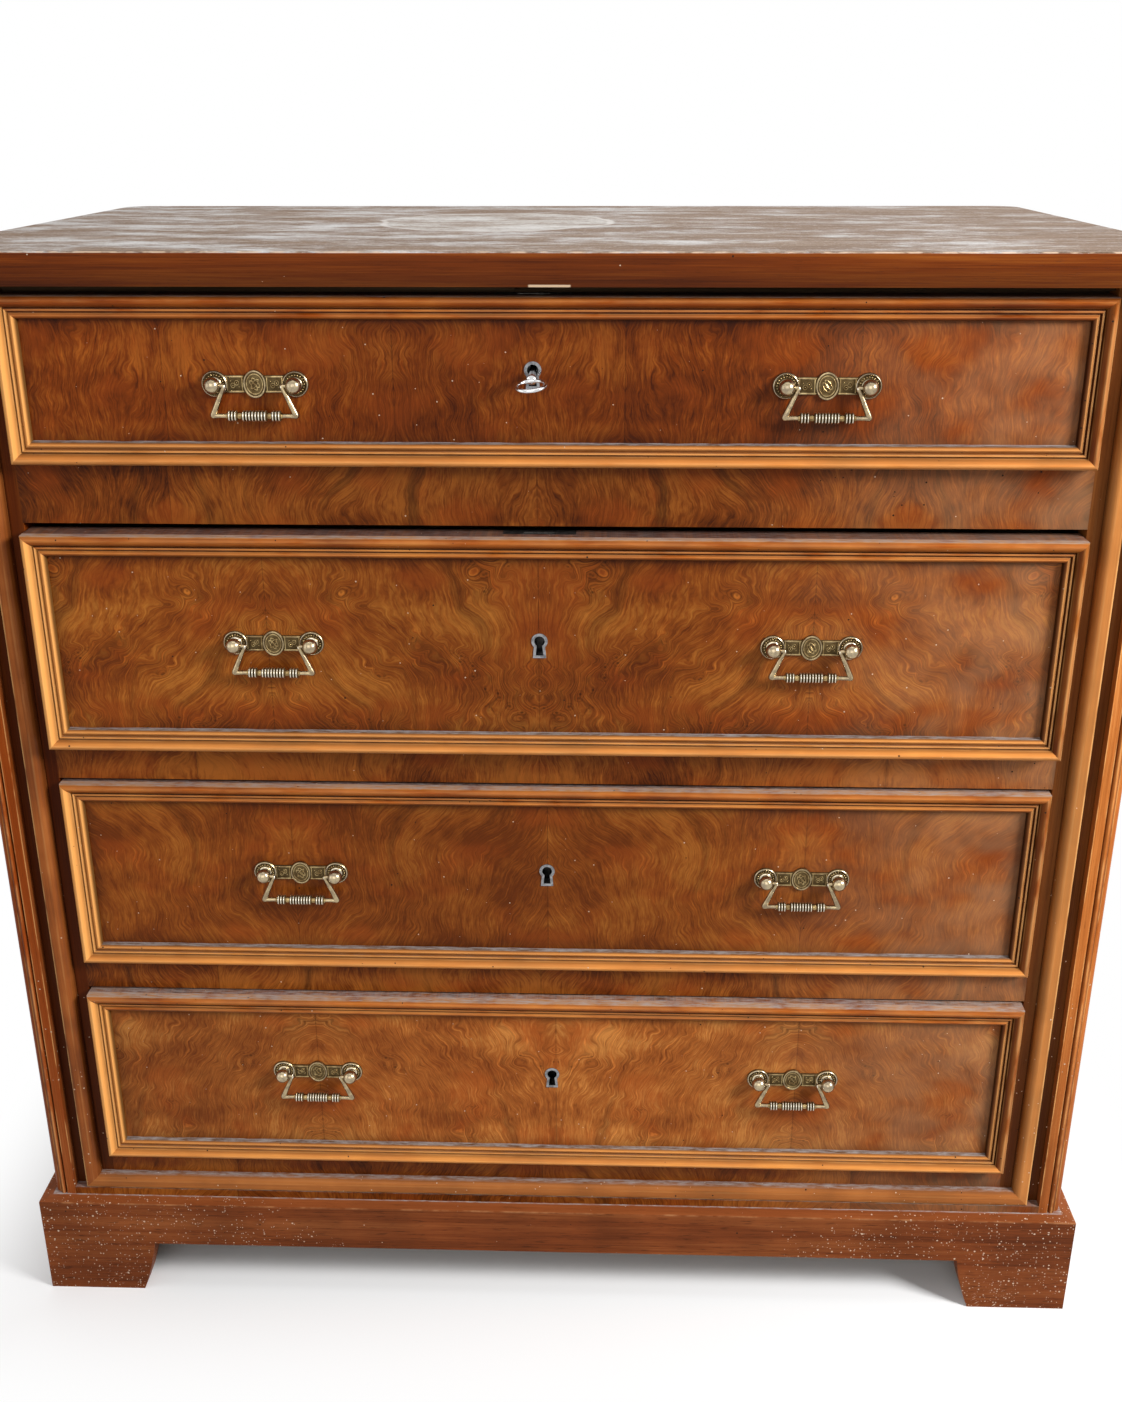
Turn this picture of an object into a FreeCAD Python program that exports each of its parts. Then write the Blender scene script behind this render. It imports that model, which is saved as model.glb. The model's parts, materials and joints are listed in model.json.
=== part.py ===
"""Four-drawer chest on a bracket plinth, in millimetres.

X runs across the chest, Y from front to back and Z up.  While it is being built, Y = 0 is
the front plane of the carcass, where the faces of closed drawers lie.  At the end everything
moves back together, so that the origin lies on the floor under the middle of the whole chest.
"""

import FreeCAD, Part
import math
import os

from FreeCAD import Rotation, Vector

# ---------------------------------------------------------------- driving dimensions
# carcass
case_width = 986.4
case_back = 564.0               # from the front plane to the back edge of sides and top
side_thickness = 20.0
stile_thickness = 22.0          # the flat board behind the stile's raised members
back_thickness = 12.0
back_rabbet = 9.0
back_plank_count = 7
back_plank_gap = 0.6
bottom_thickness = 18.0
bottom_dado = 6.0

# top board
top_thickness = 25.5
top_overhang = 29.0             # past the front plane
top_corner_radius = 28.0        # rounded back corners
top_arris = 1.5

# the stack of rails and drawers; each tuple runs from the top drawer to the bottom one
drawer_heights = (132.0, 190.0, 181.5, 182.5)
rail_heights = (50.7, 34.4, 30.1, 49.1)         # the rail under each drawer
head_gaps = (2.5, 6.1, 2.5, 2.0)                # free space over each drawer
drawers_ajar = (6.0, 11.0, 1.0, 6.0)            # how far each one stands out as it rests
run_clearance = 0.4             # drawer bottom over rail and runner
side_clearance = 2.2            # drawer side to stile and guide
rail_depth = 60.0
top_rail_lip = 6.0              # the thin front edge of the top rail
top_rail_lip_setback = 8.0      # that edge behind the front plane
top_rail_thickness = 21.0
top_rail_depth = 70.0
top_rail_setback = 2.0          # web of the top rail behind the stiles
kicker_thickness = 21.0

# runners, guides and stops
runner_thickness = 18.0
runner_width = 63.0
guide_height = 18.0
stop_size = 16.0
stop_clearance = 0.3

# raised members of the front frame
frame_rise = 9.0                # how far the case moulding stands out
flat_margin = 11.5              # bare stile beside the opening
case_moulding_width = 14.0
case_moulding_round = 6.5
recess_width = 12.0
fillet_band_width = 8.6         # the flat raised band outside the recess
quirk_width = 1.2
bead_radius = 2.6
corner_round = 6.7              # outer corner of the stile
base_band_height = 7.8
base_band_gap = 1.0             # between the band and the case moulding over it

# plinth
plinth_height = 107.0
plinth_thickness = 24.0
plinth_step = 12.0              # past the raised members in front
plinth_side_step = 11.7         # past the carcass at each side
plinth_fall = 1.6               # slope of its top edge
arch_height = 57.2
foot_width = 109.5              # at the arch
foot_floor_width = 94.2
foot_curve = 0.62               # share of the foot's spread that is reached at half height
corner_block = 40.0            # length of its two glued faces
corner_block_end = 16.0         # its thickness at their ends
corner_block_lift = 2.0

# drawers
front_thickness = 22.0
rear_space = 32.0               # between a closed drawer and the back planks
drawer_side_thickness = 11.0
drawer_back_thickness = 11.0
drawer_side_drop = 19.0         # side's top edge below the front's top edge
drawer_back_drop = 6.0          # back's top edge below the side's
dovetail_lap = 15.0             # how far the tails run into the front
dovetail_pitch = 36.0
dovetail_root = 0.52            # share of the pitch that a tail has at its root
dovetail_end = 0.74             # and at its end
drawer_bottom_thickness = 7.0
drawer_bottom_lift = 9.0
drawer_groove = 5.0
groove_clearance = 0.1

# drawer moulding
moulding_width = 18.0
moulding_rise = 9.6

# pulls
pull_spacing = 448.0            # between the two pulls of a drawer
pull_heights = (64.2, 97.3, 94.3, 99.2)         # above each drawer's bottom edge
pull_shifts = (-7.0, -7.0, -1.0, 2.0)           # hand-set, a little off the middle
post_spacing = 64.0
post_reach = 9.5                # drawer face to the bail's axis
post_neck_radius = 2.8
ball_radius = 6.5
rosette_radius = 10.4
rosette_thickness = 2.6
rosette_bead = 1.0              # width of its raised rim's rounded edge
rosette_dome_rise = 0.4         # the middle over the rim
plate_height = 13.5
plate_thickness = 1.6
medallion_width = 18.0
medallion_height = 22.0
medallion_thickness = 2.8
stud_radius = 2.0
stud_clearance = 0.1
nut_size = 9.0
nut_thickness = 3.5
stud_end = 1.5                  # thread showing past the nut
drill_margin = 1.0              # how far drill holes run past the wood or metal

# bails
bail_arm_top_radius = 1.7
bail_arm_foot_radius = 2.6
bail_rod_radius = 1.8           # between each lower corner and the grip
bail_pin_radius = 1.6
bail_pin_clearance = 0.1
bail_pin_end = 2.1              # past the middle of the ball
bail_top_half = 22.7
bail_bottom_half = 33.0
bail_drop = 23.5
grip_radius = 2.5               # spindle between the groups of rings
grip_end = 1.3                  # spindle past the outer rings
ring_radius = 4.6
ring_valley_radius = 3.3
ring_pitch = 2.45
ring_groups = ((-17.3, 3), (0.0, 8), (17.3, 3))  # middle of each group and its rings

# locks
keyhole_heights = (75.5, 100.7, 98.4, 100.0)    # above each drawer's bottom edge
keyhole_shifts = (-12.2, -8.3, -3.6, 0.2)       # hand-set too
keyhole_radius = 4.4
keyhole_slot_width = 4.6
keyhole_slot_flare = 6.4
keyhole_drop = 12.4             # centre of the round hole to the foot of the slot
escutcheon_wall = 2.4
escutcheon_proud = 0.8
lock_depth = 14.0               # how deep the mortise in the front's back is
lock_width = 60.0
lock_foot = 24.0                # below the keyhole
lock_wall = 1.6
bolt_width = 26.0
bolt_thickness = 5.0
bolt_below_edge = 1.5           # bolt's end under the drawer's top edge
bolt_height = 38.0
bolt_clearance = 0.3
mortise_clearance = 1.5

# key
key_shaft_radius = 2.75
key_droop = 12.0                # degrees below level
key_pivot_depth = 4.4           # where the drooping shaft crosses the middle of the keyhole
key_inside = 13.0               # from that point into the lock
key_outside = 24.4              # from that point out to the bow
key_bit_width = 5.0
key_bit_height = 10.0
key_bit_thickness = 2.0
key_collar_radius = 4.0
key_collar_width = 2.6
bow_width = 26.5
bow_length = 24.0
bow_rod_radius = 1.35
bow_turn = -2.0                 # degrees that the bow's plane is off level

# ---------------------------------------------------------------- derived sizes
half_case = case_width / 2
half_opening = half_case - (flat_margin + case_moulding_width + recess_width + fillet_band_width
                            + quirk_width + 2 * bead_radius + corner_round)
half_drawer = half_opening - side_clearance
inner_half = half_case - side_thickness
drawer_length = case_back - back_thickness - rear_space     # from the closed face to the rear end
pull_offset = pull_spacing / 2
band_inner = half_opening + flat_margin + case_moulding_width + recess_width
half_plinth = half_case + plinth_side_step
plinth_front_y = -frame_rise - plinth_step


def stack_levels():
    """Work up from the plinth; returns drawer (bottom, top), rail (bottom, top), case top."""
    level = plinth_height
    drawers, rails = [], []
    for height, rail, gap in reversed(list(zip(drawer_heights, rail_heights, head_gaps))):
        rails.append((level, level + rail))
        level += rail + run_clearance
        drawers.append((level, level + height))
        level += height + gap
    return drawers[::-1], rails[::-1], level + top_rail_lip


drawer_levels, rail_levels, case_top = stack_levels()


# ---------------------------------------------------------------- helpers
def box(x0, x1, y0, y1, z0, z1):
    """A block between two corners."""
    return Part.makeBox(x1 - x0, y1 - y0, z1 - z0, Vector(x0, y0, z0))


def prism(points, travel):
    """A polygon swept along a vector."""
    wire = Part.makePolygon([Vector(*p) for p in points] + [Vector(*points[0])])
    return Part.Face(wire).extrude(Vector(*travel))


def edges_to_face(edges):
    """A flat face inside a closed run of edges."""
    return Part.Face(Part.Wire(Part.__sortEdges__(edges)))


def mirrored(shape):
    """The same piece on the other side of the chest."""
    return shape.mirror(Vector(0, 0, 0), Vector(1, 0, 0))


def both_sides(shape):
    """A left and right pair from the right-hand piece."""
    return [mirrored(shape), shape]


def cylinder_y(x, z, y0, y1, radius):
    """A round bar along Y."""
    return Part.makeCylinder(radius, y1 - y0, Vector(x, y0, z), Vector(0, 1, 0))


def cylinder_x(x0, x1, y, z, radius):
    """A round bar along X."""
    return Part.makeCylinder(radius, x1 - x0, Vector(x0, y, z), Vector(1, 0, 0))


def turned(profile, centre, axis):
    """A solid of revolution: profile is (distance along the axis, radius) from end to end."""
    points = [(profile[0][0], 0.0)] + list(profile) + [(profile[-1][0], 0.0)]
    wire = Part.makePolygon([Vector(r, 0, t) for t, r in points] + [Vector(0, 0, points[0][0])])
    solid = Part.Face(wire).revolve(Vector(0, 0, 0), Vector(0, 0, 1), 360)
    solid.Placement = FreeCAD.Placement(Vector(*centre), Rotation(Vector(0, 0, 1), Vector(*axis)))
    return solid


# ---------------------------------------------------------------- carcass
def make_top_board():
    """The top, flush with the sides, with rounded back corners and eased arrises."""
    half, back, r = half_case, case_back, top_corner_radius
    front = -top_overhang
    arc = r * (1 - math.sqrt(0.5))
    edges = [
        Part.makeLine(Vector(-half, front, 0), Vector(half, front, 0)),
        Part.makeLine(Vector(half, front, 0), Vector(half, back - r, 0)),
        Part.Arc(Vector(half, back - r, 0), Vector(half - arc, back - arc, 0),
                 Vector(half - r, back, 0)).toShape(),
        Part.makeLine(Vector(half - r, back, 0), Vector(-half + r, back, 0)),
        Part.Arc(Vector(-half + r, back, 0), Vector(-half + arc, back - arc, 0),
                 Vector(-half, back - r, 0)).toShape(),
        Part.makeLine(Vector(-half, back - r, 0), Vector(-half, front, 0)),
    ]
    board = edges_to_face(edges).extrude(Vector(0, 0, top_thickness))
    board.translate(Vector(0, 0, case_top))
    upper = [e for e in board.Edges if all(abs(v.Z - case_top - top_thickness) < 1e-6 for v in e.Vertexes)]
    return board.makeChamfer(top_arris, upper)


def make_side():
    """The right side board, with its back rabbet and the dado for the bottom board."""
    side = box(inner_half, half_case, stile_thickness, case_back, plinth_height, case_top)
    rabbet = box(inner_half, inner_half + back_rabbet, case_back - back_thickness, case_back,
                 plinth_height, case_top)
    floor_top = rail_levels[-1][1]
    dado = box(inner_half, inner_half + bottom_dado, stile_thickness, case_back - back_thickness,
               floor_top - bottom_thickness, floor_top)
    return side.cut(rabbet).cut(dado)


def make_stile():
    """The right stile: flat board, raised band, quirk bead and rounded outer corner."""
    band_outer = band_inner + fillet_band_width
    bead_start = band_outer + quirk_width
    bead_end = bead_start + 2 * bead_radius
    bead_base = -frame_rise + bead_radius
    points = [
        Vector(half_opening, stile_thickness, 0), Vector(half_opening, 0, 0),
        Vector(band_inner, 0, 0), Vector(band_inner, -frame_rise, 0),
        Vector(band_outer, -frame_rise, 0), Vector(band_outer, bead_base, 0),
        Vector(bead_start, bead_base, 0),
    ]
    edges = [Part.makeLine(a, b) for a, b in zip(points, points[1:])]
    edges.append(Part.Arc(points[-1], Vector(bead_start + bead_radius, -frame_rise, 0),
                          Vector(bead_end, bead_base, 0)).toShape())
    inset = corner_round * (1 - math.sqrt(0.5))
    turn_end = Vector(half_case, bead_base + corner_round, 0)
    edges.append(Part.Arc(Vector(bead_end, bead_base, 0),
                          Vector(half_case - inset, bead_base + inset, 0), turn_end).toShape())
    back_corner = Vector(half_case, stile_thickness, 0)
    edges.append(Part.makeLine(turn_end, back_corner))
    edges.append(Part.makeLine(back_corner, points[0]))
    stile = edges_to_face(edges).extrude(Vector(0, 0, case_top - plinth_height))
    stile.translate(Vector(0, 0, plinth_height))
    return stile


def make_divider_rails():
    """The three rails between the drawers."""
    return [box(-half_opening, half_opening, 0, rail_depth, low, high)
            for low, high in rail_levels[:-1]]


def make_bottom_rail():
    """The rail over the plinth, with the raised band that joins the two stiles."""
    low, high = rail_levels[-1]
    rail = box(-half_opening, half_opening, 0, stile_thickness, low, high)
    band = box(-band_inner, band_inner, -frame_rise, 0, low, low + base_band_height)
    return rail.fuse(band).removeSplitter()


def make_top_frame(mortise):
    """Front rail with a thin lip over the drawer, back rail and two kickers under the top."""
    inner = stile_thickness + top_rail_setback
    lip = box(-half_opening, half_opening, top_rail_lip_setback, inner,
              case_top - top_rail_lip, case_top)
    web = box(-inner_half, inner_half, inner, inner + top_rail_depth,
              case_top - top_rail_thickness, case_top)
    front = lip.fuse(web).removeSplitter().cut(mortise)
    inside_back = case_back - back_thickness
    back = box(-inner_half, inner_half, inside_back - rail_depth, inside_back,
               case_top - top_rail_thickness, case_top)
    kicker = box(inner_half - runner_width, inner_half, inner + top_rail_depth,
                 inside_back - rail_depth, case_top - kicker_thickness, case_top)
    return [front, back] + both_sides(kicker)


def make_bottom_board():
    """The bottom of the carcass, on which the lowest drawer runs."""
    floor_top = rail_levels[-1][1]
    reach = inner_half + bottom_dado
    return box(-reach, reach, stile_thickness, case_back - back_thickness,
               floor_top - bottom_thickness, floor_top)


def make_back_planks():
    """Upright boards in the back rabbets."""
    half = inner_half + back_rabbet
    pitch = 2 * half / back_plank_count
    return [box(-half + i * pitch + back_plank_gap / 2, -half + (i + 1) * pitch - back_plank_gap / 2,
                case_back - back_thickness, case_back, plinth_height, case_top)
            for i in range(back_plank_count)]


def make_runners():
    """Bars that carry the three upper drawers, behind each rail."""
    bars = []
    for low, high in rail_levels[:-1]:
        bars += both_sides(box(inner_half - runner_width, inner_half, rail_depth,
                               case_back - back_thickness, high - runner_thickness, high))
    return bars


def make_guides():
    """Bars on the runners that keep each drawer straight."""
    bars = []
    for low, high in rail_levels:
        bars += both_sides(box(half_opening, inner_half, stile_thickness,
                               case_back - back_thickness, high, high + guide_height))
    return bars


def make_stops():
    """Blocks that a closed drawer's rear end meets."""
    blocks = []
    start = drawer_length + stop_clearance
    for low, high in rail_levels:
        blocks += both_sides(box(half_drawer - stop_size, half_drawer, start, start + stop_size,
                                 high, high + stop_size))
    return blocks


# ---------------------------------------------------------------- front mouldings
def case_moulding_profile():
    """Section of the case moulding: (distance from its inner edge, rise)."""
    r, rise, width = case_moulding_round, frame_rise, case_moulding_width
    bow = r * math.sqrt(0.5)
    step = rise - r
    lines = [((0, 0), (0, step)), ((r, rise), (width, rise)), ((width, rise), (width, 0)),
             ((width, 0), (0, 0))]
    arcs = [((0, step), (r - bow, step + bow), (r, rise))]
    return lines, arcs


def drawer_moulding_profile():
    """Section of the drawer moulding: a nosing, a thin fillet and a wide inner bead."""
    w, h = moulding_width, moulding_rise
    groove = 0.34 * h
    nose_top, nose_end = (0.22 * w, h), (0.50 * w, 0.52 * h)
    fillet_start, fillet_end = (0.55 * w, 0.58 * h), (0.66 * w, 0.58 * h)
    bead_start, bead_end = (0.70 * w, groove), (w, 0.26 * h)
    lines = [
        ((0, 0), (0, 0.64 * h)),
        (nose_end, (nose_end[0], groove)), ((nose_end[0], groove), (fillet_start[0], groove)),
        ((fillet_start[0], groove), fillet_start), (fillet_start, fillet_end),
        (fillet_end, (fillet_end[0], groove)), ((fillet_end[0], groove), bead_start),
        (bead_end, (w, 0)), ((w, 0), (0, 0)),
    ]
    arcs = [
        ((0, 0.64 * h), (0.06 * w, 0.90 * h), nose_top),
        (nose_top, (0.39 * w, 0.85 * h), nose_end),
        (bead_start, (0.84 * w, 0.56 * h), bead_end),
    ]
    return lines, arcs


def stick(profile, start, inward, along):
    """A moulding stick: its section stands at start, grows inward, and runs along a vector."""
    lines, arcs = profile

    def place(p):
        return start + inward * p[0] + Vector(0, -p[1], 0)

    edges = [Part.makeLine(place(a), place(b)) for a, b in lines]
    edges += [Part.Arc(*[place(p) for p in arc]).toShape() for arc in arcs]
    return edges_to_face(edges).extrude(along)


def mitred(piece, corners):
    """Trim a stick to the polygon that it fills in the front view."""
    depth = frame_rise + moulding_rise
    return piece.common(prism([(x, -depth, z) for x, z in corners], (0, depth, 0)))


def make_drawer_moulding(z0, z1):
    """Four mitred sticks round the edge of a drawer front."""
    half, w = half_drawer, moulding_width
    profile = drawer_moulding_profile()
    top = mitred(stick(profile, Vector(-half, 0, z1), Vector(0, 0, -1), Vector(2 * half, 0, 0)),
                 [(-half, z1), (half, z1), (half - w, z1 - w), (-half + w, z1 - w)])
    bottom = mitred(stick(profile, Vector(-half, 0, z0), Vector(0, 0, 1), Vector(2 * half, 0, 0)),
                    [(-half, z0), (half, z0), (half - w, z0 + w), (-half + w, z0 + w)])
    right = mitred(stick(profile, Vector(half, 0, z0), Vector(-1, 0, 0), Vector(0, 0, z1 - z0)),
                   [(half, z0), (half, z1), (half - w, z1 - w), (half - w, z0 + w)])
    return [top, bottom] + both_sides(right)


def make_case_moulding():
    """Two upright sticks and one along the base, mitred where they meet."""
    inner_x = half_opening + flat_margin
    w = case_moulding_width
    inner_z = plinth_height + base_band_height + base_band_gap + w
    profile = case_moulding_profile()
    right = mitred(stick(profile, Vector(inner_x, 0, inner_z - w), Vector(1, 0, 0),
                         Vector(0, 0, case_top - inner_z + w)),
                   [(inner_x, inner_z), (inner_x + w, inner_z - w), (inner_x + w, case_top),
                    (inner_x, case_top)])
    half = inner_x + w
    base = mitred(stick(profile, Vector(-half, 0, inner_z), Vector(0, 0, -1), Vector(2 * half, 0, 0)),
                  [(-inner_x, inner_z), (inner_x, inner_z), (half, inner_z - w), (-half, inner_z - w)])
    return [base] + both_sides(right)


# ---------------------------------------------------------------- plinth
def plinth_section(run_start, run_end, outward, origin):
    """A plinth board: its section, sloped on top, swept between two points."""
    inner = -outward * plinth_thickness
    foot = origin
    points = [foot, foot + Vector(0, 0, plinth_height - plinth_fall),
              foot - outward * plinth_step + Vector(0, 0, plinth_height),
              foot + inner + Vector(0, 0, plinth_height), foot + inner]
    wire = Part.makePolygon([p + run_start for p in points] + [points[0] + run_start])
    return Part.Face(wire).extrude(run_end - run_start)


def arch_cutter(half_length, start, along, travel):
    """The space between two feet with curved inner edges, in a board 2 * half_length long."""
    top = half_length - foot_width
    floor = half_length - foot_floor_width
    waist = floor - foot_curve * (foot_width - foot_floor_width)

    def place(reach, z):
        return start + along * reach + Vector(0, 0, z)

    below = -arch_height / 2
    edges = [Part.makeLine(place(-top, arch_height), place(top, arch_height)),
             Part.makeLine(place(floor, below), place(-floor, below))]
    for s in (-1, 1):
        edges.append(Part.Arc(place(s * top, arch_height), place(s * waist, arch_height / 2),
                              place(s * floor, 0)).toShape())
        edges.append(Part.makeLine(place(s * floor, 0), place(s * floor, below)))
    return edges_to_face(edges).extrude(travel)


def make_plinth():
    """Front, two sides and back of the plinth, mitred at the front corners."""
    half, t = half_plinth, plinth_thickness
    y0, y1 = plinth_front_y, case_back
    reach = 1.0
    front = plinth_section(Vector(-half, 0, 0), Vector(half, 0, 0), Vector(0, -1, 0), Vector(0, y0, 0))
    mitre = prism([(-half, y0, -reach), (half, y0, -reach), (half - t, y0 + t, -reach),
                   (-half + t, y0 + t, -reach)], (0, 0, plinth_height + 2 * reach))
    front = front.common(mitre)
    across, through = Vector(1, 0, 0), Vector(0, t + 2 * reach, 0)
    front = front.cut(arch_cutter(half, Vector(0, y0 - reach, 0), across, through))
    side = plinth_section(Vector(0, y0, 0), Vector(0, y1, 0), Vector(1, 0, 0), Vector(half, 0, 0))
    trim = prism([(half, y0, -reach), (half, y1, -reach), (half - t, y1, -reach),
                  (half - t, y0 + t, -reach)], (0, 0, plinth_height + 2 * reach))
    side = side.common(trim)
    start = Vector(half - t - reach, (y0 + y1) / 2, 0)
    side = side.cut(arch_cutter((y1 - y0) / 2, start, Vector(0, 1, 0), Vector(t + 2 * reach, 0, 0)))
    back = box(-half + t, half - t, y1 - t, y1, 0, plinth_height)
    back = back.cut(arch_cutter(half, Vector(0, y1 - t - reach, 0), across, through))
    return front, both_sides(side), back


def make_corner_blocks():
    """Glue blocks in the four corners of the plinth, clear of the floor."""
    half = half_plinth - plinth_thickness
    z0, z1 = corner_block_lift, plinth_height
    front_y = plinth_front_y + plinth_thickness
    back_y = case_back - plinth_thickness
    blocks = []
    for y, sense in ((front_y, 1), (back_y, -1)):
        corner = [(half, y, z0), (half - corner_block, y, z0),
                  (half - corner_block, y + sense * corner_block_end, z0),
                  (half - corner_block_end, y + sense * corner_block, z0),
                  (half, y + sense * corner_block, z0)]
        blocks += both_sides(prism(corner, (0, 0, z1 - z0)))
    return blocks


# ---------------------------------------------------------------- drawers
def tails(x0, x1, z0, z1, root_y, end_y):
    """Dovetail tails on a side board, from their root to their wider end."""
    count = max(2, round((z1 - z0) / dovetail_pitch))
    pitch = (z1 - z0) / count
    pieces = []
    for i in range(count):
        middle = z0 + (i + 0.5) * pitch
        root, end = dovetail_root * pitch / 2, dovetail_end * pitch / 2
        pieces.append(prism([(x0, root_y, middle - root), (x0, end_y, middle - end),
                             (x0, end_y, middle + end), (x0, root_y, middle + root)],
                            (x1 - x0, 0, 0)))
    return pieces


def make_drawer_box(z0, z1):
    """Front, sides, back and bottom of one drawer in its closed place, with dovetails."""
    half, t = half_drawer, drawer_side_thickness
    side_top = z1 - drawer_side_drop
    floor_z = z0 + drawer_bottom_lift
    floor_top = floor_z + drawer_bottom_thickness
    back_y = drawer_length - drawer_back_thickness
    lap_y = front_thickness - dovetail_lap

    front_tails = tails(half - t, half, z0, side_top, front_thickness, lap_y)
    back_zone = box(-half, half, back_y, drawer_length, floor_top, side_top - drawer_back_drop)
    back_tails = tails(half - t, half, floor_top, side_top - drawer_back_drop, back_y, drawer_length)

    side = box(half - t, half, front_thickness, drawer_length, z0, side_top)
    side = side.cut(back_zone).fuse(front_tails + back_tails).removeSplitter()
    groove = box(half - t, half - t + drawer_groove, front_thickness, drawer_length, floor_z, floor_top)
    side = side.cut(groove)

    front = box(-half, half, 0, front_thickness, z0, z1)
    front = front.cut(front_tails + [mirrored(p) for p in front_tails])
    front_groove = box(-half + t, half - t, front_thickness - drawer_groove, front_thickness,
                       floor_z, floor_top)
    front = front.cut(front_groove)
    back = back_zone.cut(back_tails + [mirrored(p) for p in back_tails])

    reach = half - t + drawer_groove - groove_clearance
    inner_front = front_thickness - drawer_groove + groove_clearance
    notch_y = front_thickness + groove_clearance
    bottom = box(-reach, reach, notch_y, drawer_length, floor_z, floor_top)
    tongue = box(-half + t + groove_clearance, half - t - groove_clearance, inner_front, notch_y,
                 floor_z, floor_top)
    bottom = bottom.fuse(tongue).removeSplitter()
    return front, both_sides(side), back, bottom


def keyhole_outline(x, z, grow, y):
    """A keyhole: a round hole with a flared slot under it, grown by a margin."""
    radius = keyhole_radius + grow
    half = keyhole_slot_width / 2 + grow
    foot = keyhole_slot_flare / 2 + grow
    join = math.sqrt(radius ** 2 - half ** 2)
    bottom = z - keyhole_drop - grow
    left, right = Vector(x - half, y, z - join), Vector(x + half, y, z - join)
    foot_left, foot_right = Vector(x - foot, y, bottom), Vector(x + foot, y, bottom)
    return edges_to_face([
        Part.Arc(left, Vector(x, y, z + radius), right).toShape(),
        Part.makeLine(right, foot_right), Part.makeLine(foot_right, foot_left),
        Part.makeLine(foot_left, left)])


def keyhole_bar(x, z, grow, y0, y1):
    """The keyhole outline as a bar along Y."""
    return keyhole_outline(x, z, grow, y0).extrude(Vector(0, y1 - y0, 0))


def make_escutcheon(x, z):
    """A keyhole-shaped metal liner let into the drawer front."""
    y0, y1 = -escutcheon_proud, front_thickness - lock_depth
    return keyhole_bar(x, z, escutcheon_wall, y0, y1).cut(keyhole_bar(x, z, 0, y0, y1))


def make_lock(x, z, top):
    """Lock case with a cover, open inside, and its retracted bolt as a second solid."""
    half, wall = lock_width / 2, lock_wall
    y0, y1 = front_thickness - lock_depth, front_thickness
    foot = z - lock_foot
    case = box(x - half, x + half, y0, y1, foot, top)
    hollow = box(x - half + wall, x + half - wall, y0 + wall, y1 - wall, foot + wall, top - wall)
    bolt_y0 = y0 + wall + bolt_clearance
    slot = box(x - bolt_width / 2 - bolt_clearance, x + bolt_width / 2 + bolt_clearance,
               bolt_y0 - bolt_clearance, bolt_y0 + bolt_thickness + bolt_clearance,
               top - 2 * wall, top + wall)
    case = case.cut(hollow).cut(slot).cut(keyhole_bar(x, z, 0, y0 - wall, y0 + 2 * wall))
    bolt_top = top - bolt_below_edge
    bolt = box(x - bolt_width / 2, x + bolt_width / 2, bolt_y0, bolt_y0 + bolt_thickness,
               bolt_top - bolt_height, bolt_top)
    return case, bolt


def lock_pocket(x, z, top):
    """The mortise and key passage that the lock needs in the drawer front."""
    half = lock_width / 2
    y0 = front_thickness - lock_depth
    pocket = box(x - half, x + half, y0, front_thickness, z - lock_foot, top)
    passage = keyhole_bar(x, z, escutcheon_wall, -escutcheon_proud, y0)
    return pocket.fuse(passage)


# ---------------------------------------------------------------- pulls
def make_pull_plate(x, z):
    """Back plate: a bar between two beaded rosettes, with an oval boss in the middle."""
    half = post_spacing / 2
    bar = box(x - half, x + half, -plate_thickness, 0, z - plate_height / 2, z + plate_height / 2)
    r, t, bead = rosette_radius, rosette_thickness, rosette_bead
    dish, dome = 0.7 * t, t + rosette_dome_rise
    rosette_profile = [(0, r), (t / 2, r), (t, r - bead), (t, r - 2 * bead), (dish, r - 2.5 * bead),
                       (dish, r / 2), (dome, 0.36 * r)]
    rosettes = [turned(rosette_profile, (x + s * half, 0, z), (0, -1, 0)) for s in (-1, 1)]
    boss = Part.Ellipse(Vector(0, 0, 0), medallion_height / 2, medallion_width / 2).toShape()
    boss = Part.Face(Part.Wire([boss])).extrude(Vector(0, 0, medallion_thickness))
    turn = Rotation(Vector(1, 0, 0), 90)
    boss.Placement = FreeCAD.Placement(Vector(x, 0, z), turn * Rotation(Vector(0, 0, 1), 90))
    return bar.fuse(rosettes + [boss]).removeSplitter()


def make_post(x, z):
    """A ball post with its stud through the drawer front; the ball is bored for the bail."""
    ball = Part.makeSphere(ball_radius, Vector(x, -post_reach, z))
    dome = -rosette_thickness - rosette_dome_rise
    neck = cylinder_y(x, z, -post_reach, dome, post_neck_radius)
    stud = cylinder_y(x, z, dome, front_thickness + nut_thickness + stud_end, stud_radius)
    return ball.fuse([neck, stud]).removeSplitter()


def make_nut(x, z):
    """The square nut inside the drawer."""
    half = nut_size / 2
    y0, y1 = front_thickness, front_thickness + nut_thickness
    nut = box(x - half, x + half, y0, y1, z - half, z + half)
    return nut.cut(cylinder_y(x, z, y0 - drill_margin, y1 + drill_margin, stud_radius))


def pin_span(sense):
    """Where a bail's pin lies in its ball, measured from the pull's middle."""
    inner = bail_top_half
    outer = post_spacing / 2 + bail_pin_end
    return (inner, outer) if sense > 0 else (-outer, -inner)


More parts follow.
